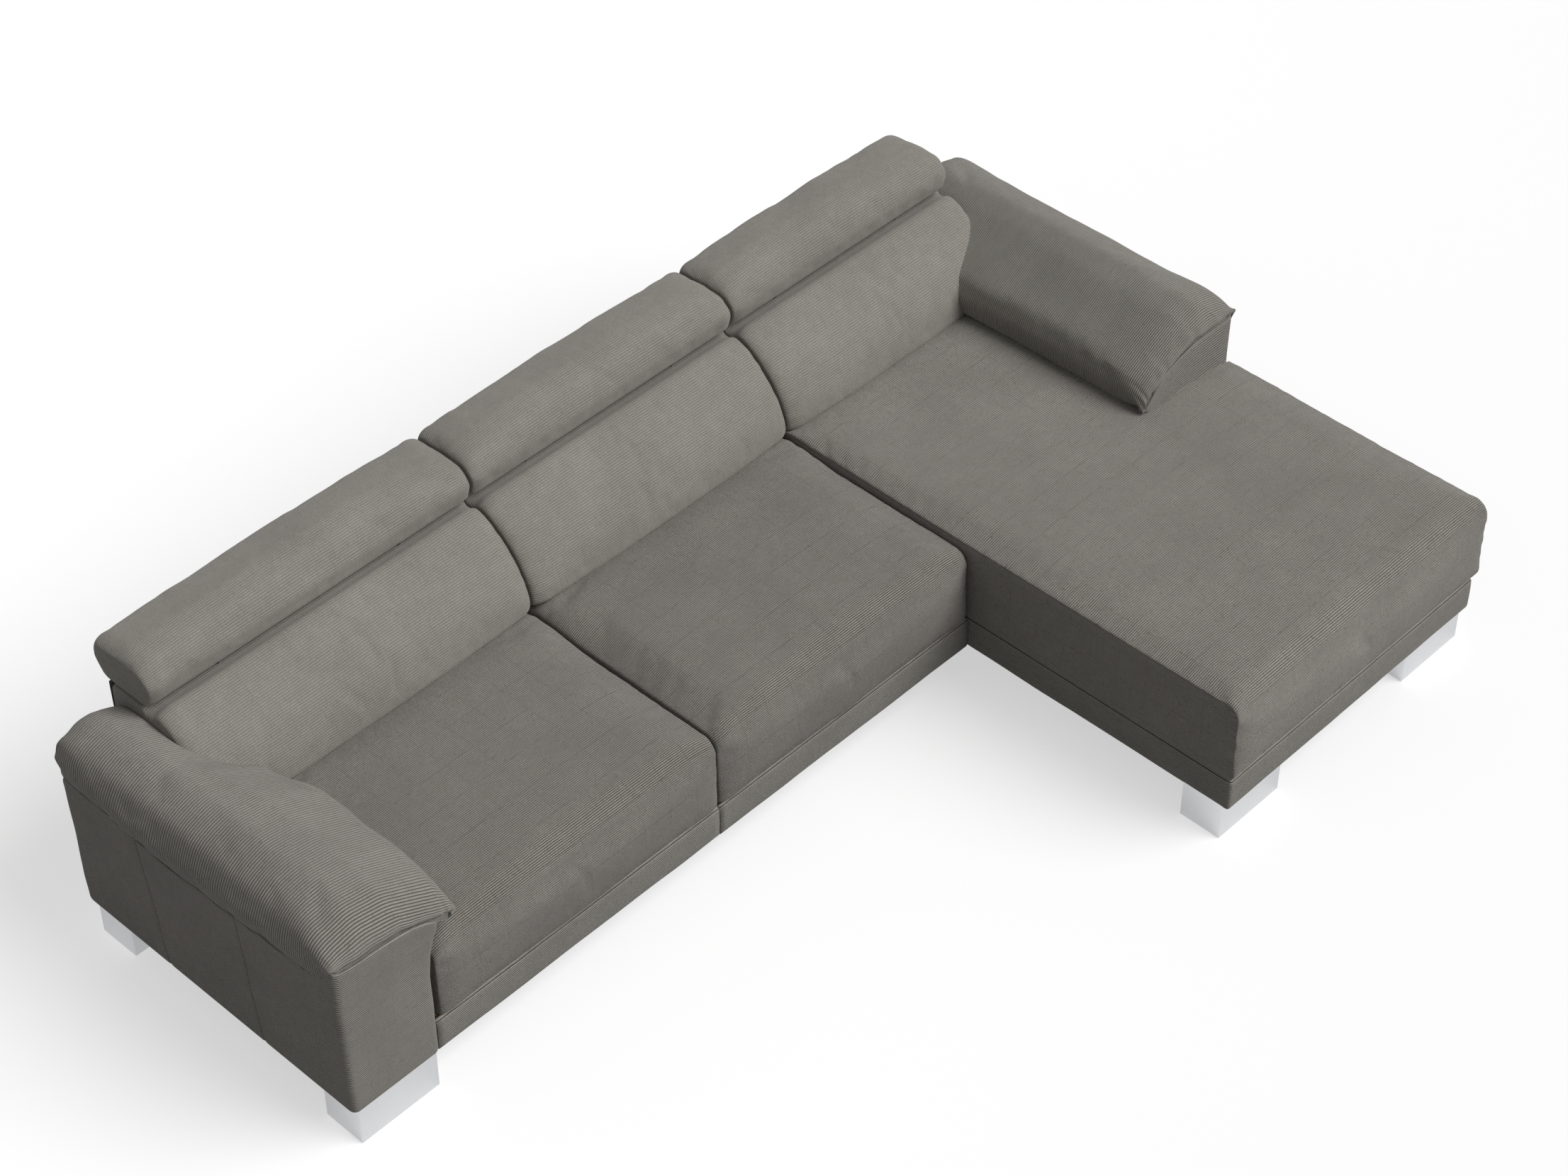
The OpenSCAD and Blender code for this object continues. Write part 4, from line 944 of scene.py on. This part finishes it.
# depth and spacing of the gathers at the front seam, how far they start and fade, all in metres
PLEAT, PLEAT_STEP, PLEAT_RISE, PLEAT_FADE = 0.0042, 0.028, 0.014, 0.038
# points on each leg of the section: the first two lie on the arm, the last is its outer lip
PILLOW_COUNTS = [34, 12, 6, 9, 11, 10, 8, 7, 5, 10]
PILLOW_PIVOT = sum(PILLOW_COUNTS[:9])
PILLOW_BASE = sum(PILLOW_COUNTS[:2])


def pillow_legs(y, lip_z, crown, draw, inner, fullness, flat, filled):
    """Section of a pillow in x and z."""
    in_x = ARM_W + PILLOW_IN + table(inner, y)
    full = table(fullness, y)
    edge_z, edge_r, x1, z1, r1, x2, z2 = (lerp(a, b, full) for a, b in zip(flat, filled))
    z0, side = ARM_H + 1.0, arm_side_top(y)
    high = z0 + PILLOW_H + crown - draw
    return corner_legs([
        (6, z0, 0), (ARM_W + ARM_FLARE + 1.5, z0, 0), (in_x - 22, lip_z, 9),
        (in_x - 0.6 * draw, edge_z, edge_r), (x1, z1 - 0.4 * draw, r1), (x2, z2 - draw, 70),
        (0.35 * ARM_W, high, 60), (-0.03 * ARM_W, high - 20, 45 - draw),
        (-PILLOW_OUT - 4 + 0.6 * draw, side + 56, 26), (-9 + 0.3 * draw, side - 8, 4)])


def roll(t):
    """How much of its height the pillow has lost at a distance t from its front seam."""
    k = max(0.0, 1 - t / FRONT_ROLL)
    return 0.45 * (1 - sqrt(1 - k * k)) + 0.55 * k ** 3


def pillow_ring(y, edge, lip, lip_z, crown, draw, *form):
    """Section of a pillow, brought down to its front seam on top of the front panel."""
    line = edge + lip
    lost, lifted = roll(y - PILLOW_FRONT), 1 - soft((y - ARM_Y - PANEL_T) / 12)
    out = []
    for number, leg in enumerate(pillow_legs(y, lip_z, crown, draw, *form)):
        moved = []
        for x, z in leg:
            to_x = min(max(x, -20.0), lip[-1][0])
            past = soft((to_x - edge[-1][0] + 3) / 12)
            rest = lerp(arm_top(edge, to_x, y), curve(line, to_x), soft((to_x - 2) / 25))
            if number in (0, 1, 9):
                share, gap = lerp(lifted, lost, past), lerp(-3.0, -12.0, past)
            else:
                share, gap = lost, lerp(5.0, 14.0, past)
            moved.append((lerp(x, to_x, share), lerp(z, rest + gap, share)))
        out.append(moved)
    return ring_of(out, PILLOW_COUNTS)


def arm_wall(at, turn):
    """The outer side of an arm, as a cutter for its pillow."""
    ys = [ARM_Y + 20 * q for q in range(2, 45)]
    wall = [(y, arm_side_top(y)) for y in ys] + [(10, 380), (ARM_Y + 40, 380)]
    face = [place(at - turn * 40, y, z - 1.5) for y, z in wall]
    return prism(face, Vector((turn * 0.049, 0, 0)))


def back_room(ends, near):
    """The end of a back cushion as a cutter for the pillow beside it."""
    ref = back_legs(0, 8)
    xs = [x for x in spread(*ends, BACK_REACH, 30.0) if abs(x - near) < 320]
    sections = back_sections(*ends, xs, 8, 1)
    skin = lay(xs, sections, ref, counts_for(ref, [20, 20, 40, 60]), cap_rings=1)
    return skin.make("room", TAUPE)


def gather(obj, skin, free, run, section, end_x, pleats_from, seed):
    """Gathers the cloth of a pillow's front seam into pleats, from pleats_from to its end."""
    moves = [v.co.copy() for v in obj.data.vertices]
    for k, far in enumerate(run[:skin.m // 2]):
        depth = PLEAT * exp(-far / PLEAT_FADE) * min(1.0, far / PLEAT_RISE)
        for i in free:
            x = section[i][0]
            share = soft((x - pleats_from) / 70) * (1 - soft((x - end_x + 28) / 18))
            wander = 1.3 * noise.noise(Vector((skin.arcs[i] * 30, seed, 0)))
            fold = cos(2 * pi * skin.arcs[i] / PLEAT_STEP + wander)
            normal = obj.data.vertices[k * skin.n + i].normal
            moves[k * skin.n + i] += normal * (depth * share * fold)
    move_points(obj.data, moves)


def pillow(name, edge, lip, lip_z, form, material, mirrored, seed, pleats_from, *cutters):
    ys = spread(PILLOW_FRONT, PILLOW_REAR, FRONT_ROLL, ends=10)
    sections = [pillow_ring(y, edge, lip, lip_z,
                            PILLOW_CROWN * swell(y, PILLOW_FRONT, PILLOW_REAR, 0.7),
                            shoulder(PILLOW_REAR - y, REAR_ROLL, REAR_DRAW), *form) for y in ys]
    over = range(PILLOW_BASE, PILLOW_PIVOT + 1)
    rings = []
    for y, section in zip(ys, sections):
        lost = roll(y - PILLOW_FRONT)
        lean = 4 * OVERHANG * lost * (1 - lost)
        rings.append([place(BODY_W - x if mirrored else x, y - (lean if i in over else 0), z)
                      for i, (x, z) in enumerate(section)])
    arcs = along(ring_of(pillow_legs(-500.0, lip_z, PILLOW_CROWN, 0, *form), PILLOW_COUNTS))
    top = range(sum(PILLOW_COUNTS[:5]), sum(PILLOW_COUNTS[:8]))
    run = [0.0]
    for a, b in zip(rings, rings[1:]):
        run.append(run[-1] + sum((a[i] - b[i]).length for i in top) / len(top))
    skin = Skin(rings, lambda k, i: (arcs[i], run[k]), lambda p: (p.x, p.z), PILLOW_PIVOT,
                flip=mirrored)
    skin.arcs = arcs
    obj = skin.make(name, material)
    puff(obj, skin, PILLOW_BASE + 2, PILLOW_PIVOT, 0.007)
    lumps(obj, 0.0028, 0.15, seed)
    free = range(PILLOW_COUNTS[0] + 1, PILLOW_PIVOT)
    seam_pull(obj, skin, free, 0.0015, 0.003, seed, 0.03, 0.03)
    gather(obj, skin, free, run, sections[0], lip[-1][0], pleats_from, seed)
    smooth_out(obj)
    carve(obj, *cutters)
    return obj


rooms = [arm_wall(0, 1), back_room(BACK_ENDS[0], BACK_ENDS[0][0]),
         arm_wall(BODY_W, -1), back_room(BACK_ENDS[2], BACK_ENDS[2][1])]
piece = pillow("pillow_left", PANEL_EDGE_LEFT, LIP_LEFT, 446.0,
               (INNER_LEFT, FULL_LEFT, FLAT_LEFT, FILLED_LEFT), PILLOW_LEFT, False, 41, 170.0,
               *rooms[:2])
finish_piece(piece, ["left_arm_pillow"])
piece = pillow("pillow_right", PANEL_EDGE_RIGHT, LIP_RIGHT, CHAISE_TOP + 4,
               (INNER_RIGHT, FULL_RIGHT, FLAT_RIGHT, FILLED_RIGHT), PILLOW_RIGHT, True, 42, 120.0,
               *rooms[2:])
finish_piece(piece, ["right_arm_pillow"])
drop(*rooms)


# ---------------- bands and rear covers
BAND_STEP, BAND_CORNER, COVER_STEP, COVER_LEVELS = 18, 9.0, 20, 26


def band(name, path, nodes, seed):
    """Upholstered strip below the cushions, swept along its outer line in the plan."""
    line = []
    for a, b in zip(path, path[1:]):
        line += resample([a, b], max(1, round(dist(a, b) / BAND_STEP)))[:-1]
    line.append(path[-1])
    run, rings = along(line), []
    for k, (x, y) in enumerate(line):
        a, b = Vector(line[max(0, k - 1)]), Vector(line[min(len(line) - 1, k + 1)])
        ahead = (b - a).normalized()
        out = Vector((ahead.y, -ahead.x))
        wave = 1.6 * noise.noise(Vector((x / 170, y / 170, seed)))
        section = [(0, BAND_TOP - 3), (-1.5, BAND_TOP), (-6, BAND_TOP + 4),
                   (-BAND_T, BAND_TOP + 5), (-BAND_T, FOOT_H + 8), (-BAND_T + 3, FOOT_H - 1),
                   (-4, FOOT_H - 4 + wave), (-1.2, FOOT_H - 3 + wave), (0, FOOT_H + 2)]
        section += [(0.8 * sin(pi * t / 7), lerp(FOOT_H + 5, BAND_TOP - 3, t / 7))
                    for t in range(1, 7)]
        at = [(Vector((x, y)) + out * s, z) for s, z in section]
        rings.append([place(p.x, p.y, z) for p, z in at])
    levels = [p.z for p in rings[0]] + [rings[0][0].z]
    skin = Skin(rings, lambda k, i: (run[k], levels[i]), cap_rings=2)
    obj = skin.make(name, TAUPE)
    lumps(obj, 0.0009, 0.12, seed)
    finish_piece(obj, nodes)


def rounded_path(points, r):
    """The plan line with its corners rounded."""
    out = [points[0]]
    for a, b, c in zip(points, points[1:], points[2:]):
        a, b, c = Vector(a), Vector(b), Vector(c)
        start = b + (a - b).normalized() * r
        end = b + (c - b).normalized() * r
        for t in (0.0, 0.25, 0.5, 0.75, 1.0):
            out.append(tuple(start.lerp(b, t).lerp(b.lerp(end, t), t)))
    return out + [points[-1]]


BAND_Y = SEAT_FRONT + 1.5
band("band_strip_left", [(ARM_W + 4.5, BAND_Y), (SEAT2_X - HALF_GAP, BAND_Y)], ["band_left"], 51)
band("band_strip_middle", [(SEAT2_X + HALF_GAP, BAND_Y), (CHAISE_X - HALF_GAP, BAND_Y)],
     ["band_middle"], 52)
band("band_strip_chaise",
     rounded_path([(CHAISE_X + 2, -130.0), (CHAISE_X + 2, CHAISE_FRONT), (BODY_W, CHAISE_FRONT),
                   (BODY_W, ARM_Y - 2)], BAND_CORNER),
     ["chaise_front_band", "chaise_left_band", "chaise_right_band"], 53)


def rear_cover(name, x0, x1, arm_x, node, seed):
    """Cloth over the back of an element, stretched over its rails, with a seam between two backs.

    arm_x is the stretch of x where an arm stands in front of it, and where its lower part ends.
    """
    seams = [SEAT2_X] if x0 < SEAT2_X < x1 else []
    xs = []
    stops = [x0] + [s + d for s in seams for d in (-8, -3, 0, 3, 8)] + [x1]
    for a, b in zip(stops, stops[1:]):
        count = max(1, round((b - a) / COVER_STEP))
        xs += [lerp(a, b, t / count) for t in range(count)]
    xs.append(x1)
    zs = [lerp(FOOT_H, COVER_Z, t / COVER_LEVELS) for t in range(COVER_LEVELS + 1)]
    rings = []
    for x in xs:
        dent = sum(2.5 * exp(-((x - s) / 3.0) ** 2) for s in seams)
        edge = 2.5 * exp(-min(x - x0, x1 - x) / 8)
        front = [(COVER_LEAN * (z - FOOT_H) / (COVER_Z - FOOT_H), z) for z in zs]
        rear = [(y + COVER_T - 2 + 3.0 * swell(z, FOOT_H, COVER_Z, 0.5) - dent - edge, z)
                for y, z in front]
        rings.append([place(x, y, z) for y, z in rear + front[::-1]])
    n = len(rings[0])
    skin = Skin(rings, lambda k, i: (xs[k] / 1000.0, rings[0][i % n].z), cap_rings=1, flip=True)
    obj = skin.make(name, TAUPE_FLAT)
    lumps(obj, 0.0012, 0.2, seed, lambda co: float(co.y > 0.784))
    cutter = block(*arm_x, -50.0, 100.0, 50.0, 466.0)
    carve(obj, cutter)
    drop(cutter)
    finish_piece(obj, [node])


COVER_X, ARM_SIDE = 164.0, ARM_W - 8
rear_cover("rear_cloth_sofa", COVER_X, CHAISE_X - HALF_GAP / 2, (100.0, ARM_SIDE),
           "sofa_rear_cover", 61)
rear_cover("rear_cloth_chaise", CHAISE_X + HALF_GAP / 2, BODY_W - COVER_X,
           (BODY_W - ARM_SIDE, BODY_W), "chaise_rear_cover", 62)


# ---------------- studio
# what the floor and sky throw on the sofa, and what the camera and mirrors see of them
FLOOR_TONE, SEEN_WHITE, AMBIENT, FLOOR_GAIN = 0.25, 0.56, 0.33, 1.08
KEY_LIGHT, KEY_ANGLE = 0.67, 42.0
FLOOR_REACH = 60
KEY_FROM = Vector((0.36, -0.58, 0.74)).normalized()
WHITE = (1.0, 1.0, 1.0, 1.0)
# the camera, solved from the photograph
CAMERA_AT, CAMERA_TO = Vector((-4.035, -3.784, 5.738)), Vector((0.4175, 0.4362, 0.0))
LENS, SENSOR = 80.30, 36.0


def seen_rays(n):
    """1 for rays that show a surface or the sky directly, in a mirror or through glass."""
    rays = n.add("ShaderNodeLightPath").outputs
    return n.math("MAXIMUM", rays["Is Camera Ray"],
                  n.math("MAXIMUM", rays["Is Glossy Ray"], rays["Is Transmission Ray"]))


def floor_material():
    """Pale floor: it looks white and keeps soft shadows, and throws little light back up."""
    n = material_nodes("studio_floor")
    tone = n.span(n.noise(n.body(), 0.6), 0.3, 0.7, 0.99, 1.0)
    seen = seen_rays(n)
    light = n.times(tone, n.span(seen, 0.0, 1.0, FLOOR_TONE, FLOOR_GAIN * (1 - SEEN_WHITE)))
    shade = n.out("ShaderNodeCombineColor", {0: light, 1: light, 2: light})
    diffuse = n.out("ShaderNodeBsdfDiffuse", {"Color": shade, "Roughness": 0.5})
    glow = n.out("ShaderNodeEmission", {"Color": WHITE, "Strength": n.times(seen, SEEN_WHITE)})
    both = n.out("ShaderNodeAddShader", {0: diffuse, 1: glow})
    n.add("ShaderNodeOutputMaterial", {0: both})
    return n.owner


def aim(obj, at, turn):
    """Sets the place and the direction of a lamp or camera."""
    obj.location = at
    obj.rotation_mode = "QUATERNION"
    obj.rotation_quaternion = turn
    return obj


floor_mesh = bpy.data.meshes.new("floor")
floor_mesh.from_pydata([(x * FLOOR_REACH, y * FLOOR_REACH, 0) for x, y in
                        ((-1, -1), (1, -1), (1, 1), (-1, 1))], [], [(0, 1, 2, 3)])
floor_mesh.materials.append(floor_material())
add_object("floor", floor_mesh)

world = bpy.data.worlds.new("studio")
sky = Nodes(world)
strength = sky.span(seen_rays(sky), 0.0, 1.0, AMBIENT, 1.0)
background = sky.out("ShaderNodeBackground", {0: WHITE, 1: strength})
sky.add("ShaderNodeOutputWorld", {0: background})
bpy.context.scene.world = world

lamp = bpy.data.lights.new("key", "SUN")
lamp.angle = radians(KEY_ANGLE)
lamp.energy = KEY_LIGHT * pi / KEY_FROM.z
aim(add_object("key", lamp), KEY_FROM * 6, KEY_FROM.to_track_quat("Z", "Y"))

camera_data = bpy.data.cameras.new("camera")
camera_data.lens = LENS
camera_data.sensor_width = SENSOR
camera_data.sensor_fit = "HORIZONTAL"
camera = aim(add_object("camera", camera_data), CAMERA_AT,
             (CAMERA_TO - CAMERA_AT).to_track_quat("-Z", "Y"))
bpy.context.scene.camera = camera
bpy.context.scene.view_settings.view_transform = "Standard"
